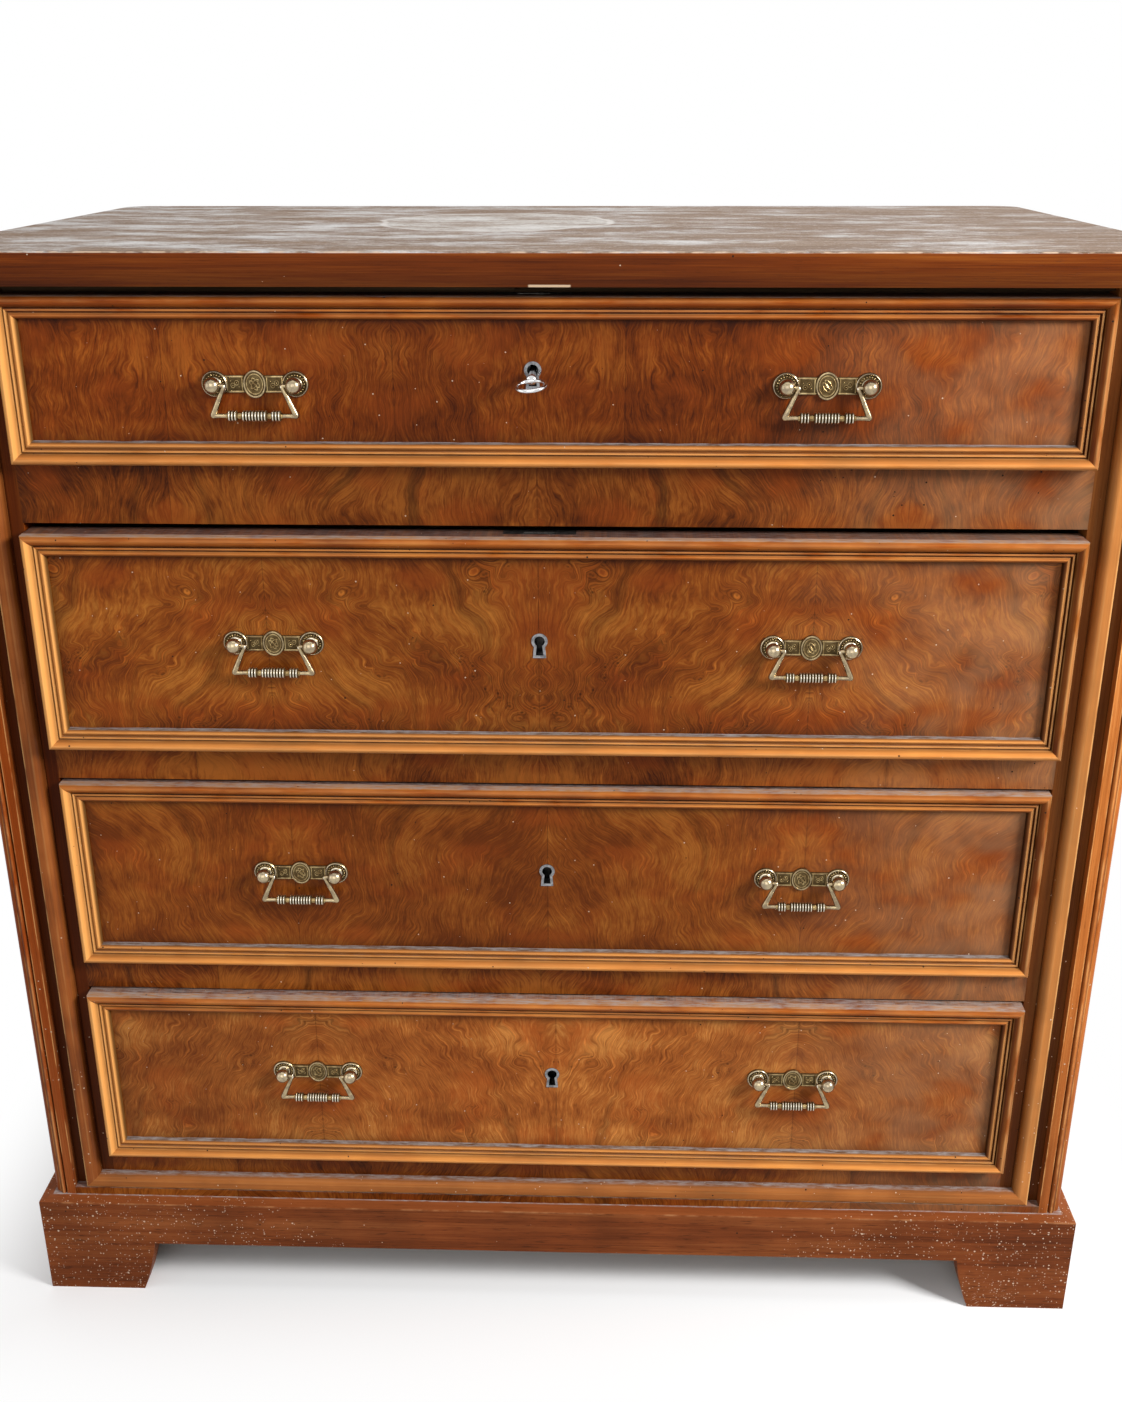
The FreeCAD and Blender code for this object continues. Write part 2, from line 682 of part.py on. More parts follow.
def make_pulls(z, shift):
    """Plates, posts, studs and nuts of a drawer's two pulls, and the holes for their studs."""
    solids, holes = [], []
    stud_hole = stud_radius + stud_clearance
    for side in (-1, 1):
        x = shift + side * pull_offset
        plate = make_pull_plate(x, z)
        for sense in (-1, 1):
            post_x = x + sense * post_spacing / 2
            post = make_post(post_x, z)
            low, high = pin_span(sense)
            bore_r = bail_pin_radius + bail_pin_clearance
            bore = cylinder_x(x + low - bail_pin_clearance, x + high + bail_pin_clearance,
                              -post_reach, z, bore_r)
            solids += [post.cut(bore), make_nut(post_x, z)]
            plate = plate.cut(cylinder_y(post_x, z, -2 * rosette_thickness, drill_margin, stud_radius))
            holes.append(cylinder_y(post_x, z, -drill_margin, front_thickness + drill_margin, stud_hole))
        solids.append(plate)
    return solids, holes


def make_bail(x, z):
    """A hanging bail: two pins, two flared and tapered arms, rounded corners, a turned grip."""
    y = -post_reach
    drop_z = z - bail_drop
    profile = grip_profile()
    grip_half = profile[-1][0]
    parts = []
    for sense in (-1, 1):
        low, high = pin_span(sense)
        parts.append(cylinder_x(x + low, x + high, y, z, bail_pin_radius))
        top = Vector(x + sense * bail_top_half, y, z)
        corner = Vector(x + sense * bail_bottom_half, y, drop_z)
        direction = corner - top
        parts.append(Part.makeCone(bail_arm_top_radius, bail_arm_foot_radius, direction.Length,
                                   top, direction))
        parts.append(Part.makeSphere(bail_arm_top_radius, top))
        parts.append(Part.makeSphere(bail_arm_foot_radius, corner))
        start, end = sorted((sense * grip_half, sense * bail_bottom_half))
        parts.append(cylinder_x(x + start, x + end, y, drop_z, bail_rod_radius))
    parts.append(turned(profile, (x, y, drop_z), (1, 0, 0)))
    return parts[0].fuse(parts[1:]).removeSplitter()


def grip_profile():
    """The turned grip: groups of sharp rings on a spindle, as (place, radius) pairs."""
    profile = []
    for middle, count in ring_groups:
        start = middle - count * ring_pitch / 2
        profile.append((start, grip_radius))
        for i in range(count):
            place = start + i * ring_pitch
            profile += [(place, ring_valley_radius), (place + ring_pitch / 2, ring_radius)]
        end = start + count * ring_pitch
        profile += [(end, ring_valley_radius), (end, grip_radius)]
    first, last = profile[0][0] - grip_end, profile[-1][0] + grip_end
    return [(first, grip_radius)] + profile + [(last, grip_radius)]


# ---------------------------------------------------------------- key
def make_key(x, z):
    """The key: bit, shaft, collar and an oval bow, drooping a little out of its lock."""
    shaft = Part.makeCylinder(key_shaft_radius, key_inside + key_outside,
                              Vector(0, -key_outside, 0), Vector(0, 1, 0))
    collar = Part.makeCylinder(key_collar_radius, key_collar_width,
                               Vector(0, -key_outside, 0), Vector(0, 1, 0))
    bit = box(-key_bit_height, 0, key_inside - key_bit_width, key_inside,
              -key_bit_thickness / 2, key_bit_thickness / 2)
    middle = Vector(0, -key_outside - bow_length / 2 + bow_rod_radius, 0)
    ring_radius_y = bow_length / 2 - bow_rod_radius
    half_straight = (bow_width - bow_length) / 2
    bow = []
    for sense in (-1, 1):
        centre = middle + Vector(sense * half_straight, 0, 0)
        ring = Part.Face(Part.Wire([Part.makeCircle(bow_rod_radius, centre - Vector(0, ring_radius_y, 0),
                                                    Vector(1, 0, 0))]))
        bow.append(ring.revolve(centre, Vector(0, 0, 1), sense * 180))
        bow.append(Part.makeCylinder(bow_rod_radius, 2 * half_straight,
                                     middle + Vector(-half_straight, sense * ring_radius_y, 0),
                                     Vector(1, 0, 0)))
    key = shaft.fuse([collar, bit] + bow).removeSplitter()
    key.rotate(Vector(0, 0, 0), Vector(0, 1, 0), bow_turn)
    key.rotate(Vector(0, 0, 0), Vector(1, 0, 0), key_droop)
    key.translate(Vector(x, key_pivot_depth, z))
    return key


# ---------------------------------------------------------------- assembly
def make_drawer(number):
    """All nodes of one drawer, where it rests."""
    z0, z1 = drawer_levels[number - 1]
    shift = pull_shifts[number - 1]
    pull_z = z0 + pull_heights[number - 1]
    hole_x = keyhole_shifts[number - 1]
    hole_z = z0 + keyhole_heights[number - 1]
    front, sides, back, bottom = make_drawer_box(z0, z1)
    pulls, stud_holes = make_pulls(pull_z, shift)
    front = front.cut(lock_pocket(hole_x, hole_z, z1)).cut(stud_holes)
    case, bolt = make_lock(hole_x, hole_z, z1)
    nodes = {
        "front": [front],
        "moulding": make_drawer_moulding(z0, z1),
        "sides": sides,
        "back": [back],
        "bottom": [bottom],
        "lock": [case] if number == 1 else [case, bolt],
        "escutcheon": [make_escutcheon(hole_x, hole_z)],
        "pulls": pulls,
        "bail_left": [make_bail(shift - pull_offset, pull_z)],
        "bail_right": [make_bail(shift + pull_offset, pull_z)],
    }
    nodes = {"drawer_%d_%s" % (number, name): solids for name, solids in nodes.items()}
    if number == 1:
        nodes["lock_bolt"] = [bolt]
        nodes["key"] = [make_key(hole_x, hole_z)]
    for solids in nodes.values():
        for solid in solids:
            solid.translate(Vector(0, -drawers_ajar[number - 1], 0))
    return nodes


def bolt_mortise():
    """The slot in the top rail that the thrown bolt of the top drawer enters."""
    half = bolt_width / 2 + mortise_clearance
    y0 = front_thickness - lock_depth + lock_wall
    y1 = y0 + bolt_thickness + 2 * bolt_clearance
    reach = mortise_clearance + drawers_ajar[0]
    shift = keyhole_shifts[0]
    return box(shift - half, shift + half, y0 - reach, y1 + mortise_clearance,
               case_top - top_rail_lip, case_top)


def make_case():
    """All nodes of the fixed carcass."""
    side, stile = make_side(), make_stile()
    plinth_front, plinth_sides, plinth_back = make_plinth()
    return {
        "top_board": [make_top_board()],
        "side_left": [mirrored(side)],
        "side_right": [side],
        "stile_left": [mirrored(stile)],
        "stile_right": [stile],
        "case_moulding": make_case_moulding(),
        "top_frame": make_top_frame(bolt_mortise()),
        "divider_rails": make_divider_rails(),
        "bottom_rail": [make_bottom_rail()],
        "bottom_board": [make_bottom_board()],
        "back_planks": make_back_planks(),
        "drawer_runners": make_runners(),
        "drawer_guides": make_guides(),
        "drawer_stops": make_stops(),
        "plinth_front": [plinth_front],
        "plinth_sides": plinth_sides,
        "plinth_back": [plinth_back],
        "corner_blocks": make_corner_blocks(),
    }


def build():
    """Every node, moved so that the origin lies under the middle of the chest."""
    nodes = make_case()
    for number in range(1, len(drawer_heights) + 1):
        nodes.update(make_drawer(number))
    bounds = Part.makeCompound([s for solids in nodes.values() for s in solids]).optimalBoundingBox()
    centre_y = (bounds.YMin + bounds.YMax) / 2
    for solids in nodes.values():
        for solid in solids:
            solid.translate(Vector(0, -centre_y, 0))
    return nodes, centre_y


def main():
    """Write one STEP file for each node."""
    os.makedirs("parts", exist_ok=True)
    nodes, centre_y = build()
    print("nodes", len(nodes), "origin lies", round(centre_y, 4), "mm behind the front plane")
    for name, solids in nodes.items():
        shape = solids[0] if len(solids) == 1 else Part.makeCompound(solids)
        shape.exportStep(os.path.join("parts", name + ".step"))
        if not shape.isValid():
            print("not valid:", name)


main()
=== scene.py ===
"""Looks of a four-drawer walnut chest on a bracket plinth, in metres.

The frame holds the carcass, drawers, locks and joints.  This script gives every surface its
finish and models the brass pulls, the bails, the key and the nails of the back.  The hardware
is modelled in millimetres and put into metres when it is done.
"""

from __future__ import annotations

import json
import logging
import math
from dataclasses import dataclass, field
from enum import Enum
from functools import reduce
from typing import Any, Callable, Dict, List, Optional, Sequence, Tuple, Union

import bpy
from mathutils import Matrix, Vector

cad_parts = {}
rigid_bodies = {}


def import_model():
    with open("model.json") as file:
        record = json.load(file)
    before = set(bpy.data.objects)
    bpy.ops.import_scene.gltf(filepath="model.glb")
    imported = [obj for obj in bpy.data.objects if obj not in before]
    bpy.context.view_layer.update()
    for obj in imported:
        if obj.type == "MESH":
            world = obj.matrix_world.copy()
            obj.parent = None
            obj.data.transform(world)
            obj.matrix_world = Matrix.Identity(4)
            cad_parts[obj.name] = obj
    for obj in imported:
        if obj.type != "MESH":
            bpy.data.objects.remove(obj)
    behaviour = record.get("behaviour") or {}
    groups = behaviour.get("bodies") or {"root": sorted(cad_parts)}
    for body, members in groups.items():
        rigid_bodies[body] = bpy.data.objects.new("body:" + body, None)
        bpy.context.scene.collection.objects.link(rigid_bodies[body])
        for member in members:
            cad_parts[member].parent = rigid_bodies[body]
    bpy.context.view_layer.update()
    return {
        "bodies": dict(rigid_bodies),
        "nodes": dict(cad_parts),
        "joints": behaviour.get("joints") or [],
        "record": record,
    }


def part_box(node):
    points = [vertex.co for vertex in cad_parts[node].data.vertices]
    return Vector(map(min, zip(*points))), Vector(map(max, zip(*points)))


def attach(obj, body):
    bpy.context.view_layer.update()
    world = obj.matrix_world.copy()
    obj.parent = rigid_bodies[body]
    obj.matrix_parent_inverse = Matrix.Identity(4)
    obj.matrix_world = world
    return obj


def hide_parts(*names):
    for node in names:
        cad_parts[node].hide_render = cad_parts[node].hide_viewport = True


LOG = logging.getLogger("chest")
MM = 0.001
CASE_STICK = 14.0 * MM              # width of the moulding round the whole front
DRAWER_STICK = 18.0 * MM            # width of the moulding round a drawer front
POLISH_ROUGHNESS = 0.28

Colour = Tuple[float, float, float]
Point = Tuple[float, float, float]
Section = Tuple[Tuple[float, float], ...]       # (place, level) pairs across a member


# ------------------------------------------------------------------ shader maths
def operator(operation: str, swapped: bool = False) -> Callable[["Wire", "Value"], "Wire"]:
    """One of a wire's operators, as a Math node.

    Args:
        operation: what the node works out.
        swapped: whether the wire comes second, as in 1 - wire.

    Returns:
        The method.
    """
    def method(wire: "Wire", other: "Value") -> "Wire":
        """Add the node."""
        values = (other, wire) if swapped else (wire, other)
        return wire.shader.maths(operation, *values)

    return method


class Wire:
    """A value in a shader: the usual arithmetic on it adds Math nodes."""

    __add__ = __radd__ = operator("ADD")
    __sub__ = operator("SUBTRACT")
    __rsub__ = operator("SUBTRACT", swapped=True)
    __mul__ = __rmul__ = operator("MULTIPLY")
    __truediv__ = operator("DIVIDE")
    __lt__ = operator("LESS_THAN")              # 1 where it holds, else 0
    __gt__ = operator("GREATER_THAN")

    def __init__(self, shader: "Shader", socket: bpy.types.NodeSocket) -> None:
        """Wrap an output socket of one of the shader's nodes."""
        self.shader = shader
        self.socket = socket

    def __abs__(self) -> "Wire":
        """Size without the sign."""
        return self.shader.maths("ABSOLUTE", self)


Value = Union[Wire, float, int]
Paint = Union[Wire, Colour]


class Shader:
    """A material under construction: its node tree, its coordinates and its patterns."""

    def __init__(self, name: str, world: Optional[bpy.types.World] = None) -> None:
        """Start an empty material, or empty the nodes of a world.

        Args:
            name: the material's name.
            world: the world, where it is one.
        """
        self.material = None if world else bpy.data.materials.new(name)
        owner = world or self.material
        owner.use_nodes = True
        self.tree = owner.node_tree
        self.tree.nodes.clear()
        self.output = self.node("ShaderNodeOutputWorld" if world else "ShaderNodeOutputMaterial")
        coordinates = self.node("ShaderNodeTexCoord")
        self.x, self.y, self.z = self.parts(coordinates.outputs["Object"])
        self.facing = self.parts(coordinates.outputs["Normal"])

    def node(self, kind: str, settings: Optional[Dict[str, Any]] = None,
             inputs: Optional[Dict[Any, Any]] = None) -> bpy.types.Node:
        """Add one node.

        Args:
            kind: the node's type.
            settings: its properties; "stops" fills a colour ramp with (place, colour) pairs.
            inputs: values or wires for its sockets, by name or number.

        Returns:
            The node.
        """
        node = self.tree.nodes.new(kind)
        for name, value in (settings or {}).items():
            if name == "stops":
                elements = node.color_ramp.elements
                while len(elements) < len(value):
                    elements.new(0.5)
                for element, (place, colour) in zip(elements, value):
                    element.position = place
                    element.color = (*colour, 1.0)
            else:
                setattr(node, name, value)
        for key, value in (inputs or {}).items():
            socket = node.inputs[key]
            if isinstance(value, Wire):
                self.tree.links.new(value.socket, socket)
            elif isinstance(value, tuple) and socket.type == "RGBA":
                socket.default_value = (*value, 1.0)
            else:
                socket.default_value = value
        return node

    def wire(self, kind: str, settings: Optional[Dict[str, Any]] = None,
             inputs: Optional[Dict[Any, Any]] = None, output: Union[int, str] = 0) -> Wire:
        """Add one node, as node() does, and take one of its outputs."""
        return Wire(self, self.node(kind, settings, inputs).outputs[output])

    def parts(self, vector: bpy.types.NodeSocket) -> Tuple[Wire, ...]:
        """The X, Y and Z of a vector."""
        made = self.node("ShaderNodeSeparateXYZ", inputs={0: Wire(self, vector)})
        return tuple(Wire(self, socket) for socket in made.outputs)

    def maths(self, operation: str, *values: Value) -> Wire:
        """A Math node on up to three values."""
        return self.wire("ShaderNodeMath", {"operation": operation}, dict(enumerate(values)))

    def at(self, x: Value, y: Value, z: Value) -> Wire:
        """A vector from three values."""
        return self.wire("ShaderNodeCombineXYZ", inputs={0: x, 1: y, 2: z})

    def scaled(self, sizes: Union[float, Sequence[float]], seed: float = 0.0, axis: int = 0) -> Wire:
        """Coordinates in which features of the given sizes are one unit across.

        Args:
            sizes: their size along X, Y and Z in metres, or one size for all three.
            seed: moves the pattern.
            axis: number of the axis along which it is moved.

        Returns:
            The coordinates.
        """
        each = (sizes,) * 3 if isinstance(sizes, float) else sizes
        values = [place / size for place, size in zip((self.x, self.y, self.z), each)]
        if seed:
            values[axis] = values[axis] + seed
        return self.at(*values)

    def noise(self, where: Wire, detail: float = 2.0, rough: float = 0.5, warp: float = 0.0) -> Wire:
        """Noise from 0 to 1 with features about one unit of the given vector across.

        Args:
            where: the coordinates.
            detail: how many finer layers it has.
            rough: how strong those are, from 0 to 1.
            warp: how far it is bent out of shape.

        Returns:
            The noise.
        """
        return self.wire("ShaderNodeTexNoise", {"normalize": True},
                         {"Vector": where, "Scale": 1.0, "Detail": detail, "Roughness": rough,
                          "Distortion": warp})

    def cells(self, where: Wire, flat: bool = False) -> Tuple[Wire, Wire]:
        """Points scattered one unit of the given vector apart.

        Args:
            where: the coordinates.
            flat: whether only X and Y of the coordinates count.

        Returns:
            The distance to the nearest point, and a random number for each point.
        """
        made = self.node("ShaderNodeTexVoronoi", {"voronoi_dimensions": "2D" if flat else "3D"},
                         {"Vector": where, "Scale": 1.0})
        return Wire(self, made.outputs["Distance"]), self.level(Wire(self, made.outputs["Color"]))

    def step(self, value: Value, low: float, high: float) -> Wire:
        """A smooth step between two limits.

        Args:
            value: what climbs through the step.
            low: where the step is 0.
            high: where it is 1, above or below the other limit.

        Returns:
            The step, from 0 to 1.
        """
        return self.wire("ShaderNodeMapRange", {"interpolation_type": "SMOOTHSTEP"},
                         {0: value, 1: min(low, high), 2: max(low, high),
                          3: float(low > high), 4: float(low < high)})

    def least(self, *values: Value) -> Wire:
        """The smallest of several values."""
        return reduce(lambda first, second: self.maths("MINIMUM", first, second), values)

    def most(self, *values: Value) -> Wire:
        """The largest of several values."""
        return reduce(lambda first, second: self.maths("MAXIMUM", first, second), values)

    def choose(self, share: Value, first: Value, second: Value) -> Wire:
        """A value between two, by a share from 0 to 1."""
        return self.wire("ShaderNodeMix", {"data_type": "FLOAT"}, {0: share, 2: first, 3: second})

    def blend(self, share: Value, first: Paint, second: Paint, way: str = "MIX") -> Wire:
        """A colour between two, by a share from 0 to 1."""
        return self.wire("ShaderNodeMix", {"data_type": "RGBA", "blend_type": way},
                         {0: share, 6: first, 7: second}, output=2)

    def shade(self, colour: Paint, brightness: Value) -> Wire:
        """A colour made brighter or darker."""
        grey = self.wire("ShaderNodeCombineColor", inputs=dict.fromkeys(range(3), brightness))
        return self.blend(1.0, colour, grey, "MULTIPLY")

    def ramp(self, value: Value, stops: Sequence[Tuple[float, Colour]]) -> Wire:
        """A colour ramp."""
        return self.wire("ShaderNodeValToRGB", {"stops": stops}, {0: value})

    def level(self, colour: Wire) -> Wire:
        """The level of a grey, or the red part of a colour."""
        return self.wire("ShaderNodeSeparateColor", inputs={0: colour})

    def levels(self, value: Value, stops: Section) -> Wire:
        """A number that runs through (place, level) pairs; places and levels are from 0 to 1."""
        return self.level(self.ramp(value, [(place, (level,) * 3) for place, level in stops]))

    def relief(self, height_mm: Value) -> Wire:
        """A normal from a height in millimetres."""
        return self.wire("ShaderNodeBump", inputs={"Height": height_mm, "Distance": MM, "Strength": 1.0})

    def surface(self, colour: Paint, roughness: Value, normal: Optional[Wire] = None,
                metallic: float = 0.0, coat: Value = 0.0, specular: float = 0.06) -> bpy.types.Material:
        """Close the material with one Principled shader.

        Args:
            colour: base colour.
            roughness: roughness.
            normal: a normal, or None for the mesh's own.
            metallic: 1 for bare metal.
            coat: weight of a clear polish.
            specular: specular level.

        Returns:
            The finished material.
        """
        inputs = {"Base Color": colour, "Roughness": roughness, "Metallic": metallic,
                  "Coat Weight": coat, "Coat Roughness": POLISH_ROUGHNESS,
                  "Specular IOR Level": specular}
        if normal is not None:
            inputs["Normal"] = normal
        self.close(self.wire("ShaderNodeBsdfPrincipled", inputs=inputs))
        return self.material

    def close(self, shader: Wire) -> None:
        """Send a shader to the output."""
        self.tree.links.new(shader.socket, self.output.inputs[0])


# ------------------------------------------------------------------ finishes
class Run(Enum):
    """The way that a board's grain runs."""

    ACROSS = "x"
    DEEP = "y"
    UP = "z"


@dataclass(frozen=True)
class Timber:
    """Colours of a wood, from its dark growth lines to its light ones."""

    dark: Colour
    middle: Colour
    light: Colour

    def stops(self) -> List[Tuple[float, Colour]]:
        """The colours as a ramp for noise from 0 to 1."""
        return [(0.28, self.dark), (0.5, self.middle), (0.72, self.light)]


RED_WALNUT = Timber((0.065, 0.011, 0.001), (0.180, 0.034, 0.003), (0.320, 0.084, 0.010))
GOLD_WALNUT = Timber((0.120, 0.023, 0.003), (0.245, 0.060, 0.007), (0.400, 0.134, 0.020))
CALM_WALNUT = Timber((0.135, 0.028, 0.003), (0.240, 0.060, 0.007), (0.360, 0.118, 0.017))
PALE_WALNUT = Timber((0.170, 0.040, 0.006), (0.295, 0.086, 0.015), (0.450, 0.172, 0.038))
AMBER_WALNUT = Timber((0.210, 0.040, 0.004), (0.410, 0.100, 0.010), (0.600, 0.200, 0.030))
CHERRY_WALNUT = Timber((0.180, 0.030, 0.002), (0.360, 0.074, 0.006), (0.540, 0.150, 0.018))
BROWN_WALNUT = Timber((0.085, 0.018, 0.004), (0.180, 0.043, 0.010), (0.280, 0.084, 0.023))
SIDE_WALNUT = Timber((0.120, 0.024, 0.003), (0.225, 0.052, 0.006), (0.320, 0.092, 0.013))
# Painted shade: the rails are darker, as they lie under the drawers.
SHADED_RAIL_WALNUT = Timber((0.052, 0.010, 0.001), (0.162, 0.036, 0.004), (0.300, 0.088, 0.012))
STICK_WALNUT = Timber((0.150, 0.030, 0.005), (0.290, 0.070, 0.012), (0.430, 0.130, 0.028))
# The two stiles are shaded and lit copies of one timber: painted shade on the left, painted light on the
# right.
SHADED_LEFT_STILE = Timber((0.150, 0.024, 0.002), (0.290, 0.052, 0.005), (0.440, 0.110, 0.016))
LIT_RIGHT_STILE = Timber((0.330, 0.082, 0.012), (0.600, 0.190, 0.040), (0.800, 0.320, 0.090))
PINE = Timber((0.30, 0.180, 0.085), (0.47, 0.315, 0.165), (0.58, 0.420, 0.240))
# Near black: painted shade for the frame in the dark gap under the top.
SHADE_DARK_PINE = Timber((0.05, 0.028, 0.014), (0.10, 0.060, 0.032), (0.16, 0.105, 0.058))
OAK = Timber((0.24, 0.150, 0.080), (0.40, 0.270, 0.150), (0.50, 0.360, 0.215))

DUST: Colour = (0.40, 0.38, 0.37)
# Painted sheen, laid over the right of the drawer fronts.
PAINTED_SHEEN: Colour = (0.48, 0.27, 0.14)
RED_STREAK: Colour = (0.27, 0.050, 0.006)
# Arrises worn light, with a painted highlight on them.
RUBBED_AND_HIGHLIGHT: Colour = (0.82, 0.44, 0.16)
# Painted light, making the sticks turned to the light golden.
PAINTED_LIGHT_GOLD: Colour = (0.80, 0.36, 0.095)
BARE_FIBRE: Colour = (0.66, 0.50, 0.36)
HOLE: Colour = (0.016, 0.008, 0.004)
BLEACHED: Colour = (0.64, 0.64, 0.64)
CRACKLED: Colour = (0.62, 0.61, 0.58)
STAIN: Colour = (0.60, 0.58, 0.55)
STAIN_RIM: Colour = (0.66, 0.63, 0.60)
NICKED: Colour = (0.62, 0.45, 0.32)
LONG_CHIP: Colour = (0.60, 0.43, 0.28)
# Painted light on faces turned up.
LIT_LEDGE: Colour = (0.30, 0.085, 0.025)
# Worn arris with a painted highlight along it.
ARRIS_WEAR_AND_HIGHLIGHT: Colour = (0.52, 0.24, 0.10)
KNOCKED: Colour = (0.72, 0.56, 0.42)


def grain_vector(s: Shader, run: Run, length: float, width: float, seed: float) -> Wire:
    """Coordinates for noise that is long along the grain and narrow across it.

    Args:
        s: the shader.
        run: the way of the grain.
        length: size of a feature along the grain, in metres.
        width: its size across the grain.
        seed: moves the pattern.

    Returns:
        The coordinates.
    """
    sizes = [length if axis == run.value else width for axis in "xyz"]
    return s.scaled(sizes, seed)


def straight_grain(s: Shader, run: Run, timber: Timber, seed: float) -> Tuple[Wire, Wire]:
    """Colour and relief of a board with straight grain.

    Args:
        s: the shader.
        run: the way of the grain.
        timber: its colours.
        seed: moves the pattern.

    Returns:
        The colour and the height of the surface in millimetres.
    """
    drift = s.noise(grain_vector(s, run, 0.35, 0.09, seed)) - 0.5
    bands = s.noise(grain_vector(s, run, 0.42, 0.010, seed + 3.1), warp=0.5)
    lines = s.noise(grain_vector(s, run, 0.075, 0.0011, seed + 7.7), 2.0, 0.6)
    value = bands * 0.60 + lines * 0.40 + drift * 0.5
    pores = s.step(s.noise(grain_vector(s, run, 0.012, 0.00045, seed + 11.0), 1.0), 0.36, 0.26)
    colour = s.shade(s.ramp(value, timber.stops()), 1 - pores * 0.30)
    return colour, lines * 0.02 - pores * 0.04


@dataclass(frozen=True)
class Spots:
    """Round marks scattered through the wood."""

    cell: float                     # size of the cells, of which a share hold a mark
    radius: float                   # the largest radius of a mark, in cells

    def scatter(self, s: Shader, share: float, seed: float) -> Wire:
        """Scatter the marks.

        Args:
            s: the shader.
            share: how many of the cells hold a mark, from 0 to 1.
            seed: moves the pattern.

        Returns:
            1 in a mark, 0 outside it.
        """
        distance, chance = s.cells(s.scaled(self.cell, seed))
        return (distance < chance * (self.radius / share)) * (chance < share)


WORMHOLES = Spots(6.0 * MM, 0.15)
SPECKS = Spots(4.2 * MM, 0.16)
LOW_SPECKS = Spots(4.6 * MM, 0.17)
KNOCKS = Spots(4.6 * MM, 0.22)
SMALL_KNOCKS = Spots(2.6 * MM, 0.30)


@dataclass(frozen=True)
class Wear:
    """What age has left on a polished surface."""

    worms: float = 0.0              # share of the cells that hold a wormhole
    worm_from: float = -9.0         # and only beyond this X
    specks: float = 0.0             # share of the cells that hold a chip of bare fibre
    low_specks: float = 0.0         # the same near the floor
    dust: float = 0.0

    def apply(self, s: Shader, colour: Wire, height: Value, roughness: Value, seed: float,
              creases: Value = 1.0) -> Tuple[Wire, Value, Value]:
        """Lay wear over a finish.

        Args:
            s: the shader.
            colour: colour so far.
            height: height so far, in millimetres.
            roughness: roughness so far.
            seed: moves the pattern.
            creases: where dust can lie, from 0 to 1.

        Returns:
            Colour, height and roughness with the wear.
        """
        if self.specks or self.low_specks:
            chips = SPECKS.scatter(s, self.specks, seed) if self.specks else 0.0
            if self.low_specks:
                low = s.step(s.z, 0.62, 0.08) > s.noise(s.scaled(0.02, seed, axis=2))
                chips = s.most(chips, LOW_SPECKS.scatter(s, self.low_specks, seed + 3) * low)
            colour = s.blend(chips * 0.85, colour, BARE_FIBRE)
            height = height - chips * 0.2
        if self.worms:
            holes = WORMHOLES.scatter(s, self.worms, seed + 5) * (s.x > self.worm_from)
            colour = s.blend(holes, colour, HOLE)
            height = height - holes * 0.8
        if self.dust:
            patchy = s.noise(s.scaled((0.012, 0.002, 0.012), seed), 4.0, 0.7)
            ledge = s.step(s.facing[2], 0.15, 0.7) * s.step(patchy, 0.28, 0.72) * creases * self.dust
            colour = s.blend(ledge, colour, DUST)
            roughness = s.choose(ledge, roughness, 0.9)
        return colour, height, roughness


@dataclass(frozen=True)
class Board:
    """A polished or bare board with straight grain."""

    name: str
    timber: Timber
    run: Run
    roughness: float = 0.45
    coat: float = 0.08
    wear: Wear = Wear()
    seed: float = 0.0
    plank: float = 0.0              # width of the planks side by side along X, or 0 for one board

    def material(self) -> bpy.types.Material:
        """Build the material.

        Returns:
            The finished material.
        """
        s = Shader(self.name)
        tone = 1.0
        if self.plank:
            share = s.x / self.plank + 0.5
            number = s.maths("FLOOR", share)
            s.z = s.z + number * 0.61
            joint = s.step(abs(share - number - 0.5), 0.490, 0.496)
            tone = (s.noise(s.at(number * 3.7, 0.5, self.seed)) * 0.8 + 0.6) * (1 - joint * 0.75)
        colour, height = straight_grain(s, self.run, self.timber, self.seed)
        patches = s.noise(s.scaled(0.12, self.seed), 3.0)
        colour = s.shade(colour, (patches * 0.5 + 0.75) * tone)
        rough = self.roughness + (patches - 0.5) * 0.18
        colour, height, rough = self.wear.apply(s, colour, height, rough, self.seed)
        return s.surface(colour, rough, s.relief(height), coat=self.coat)


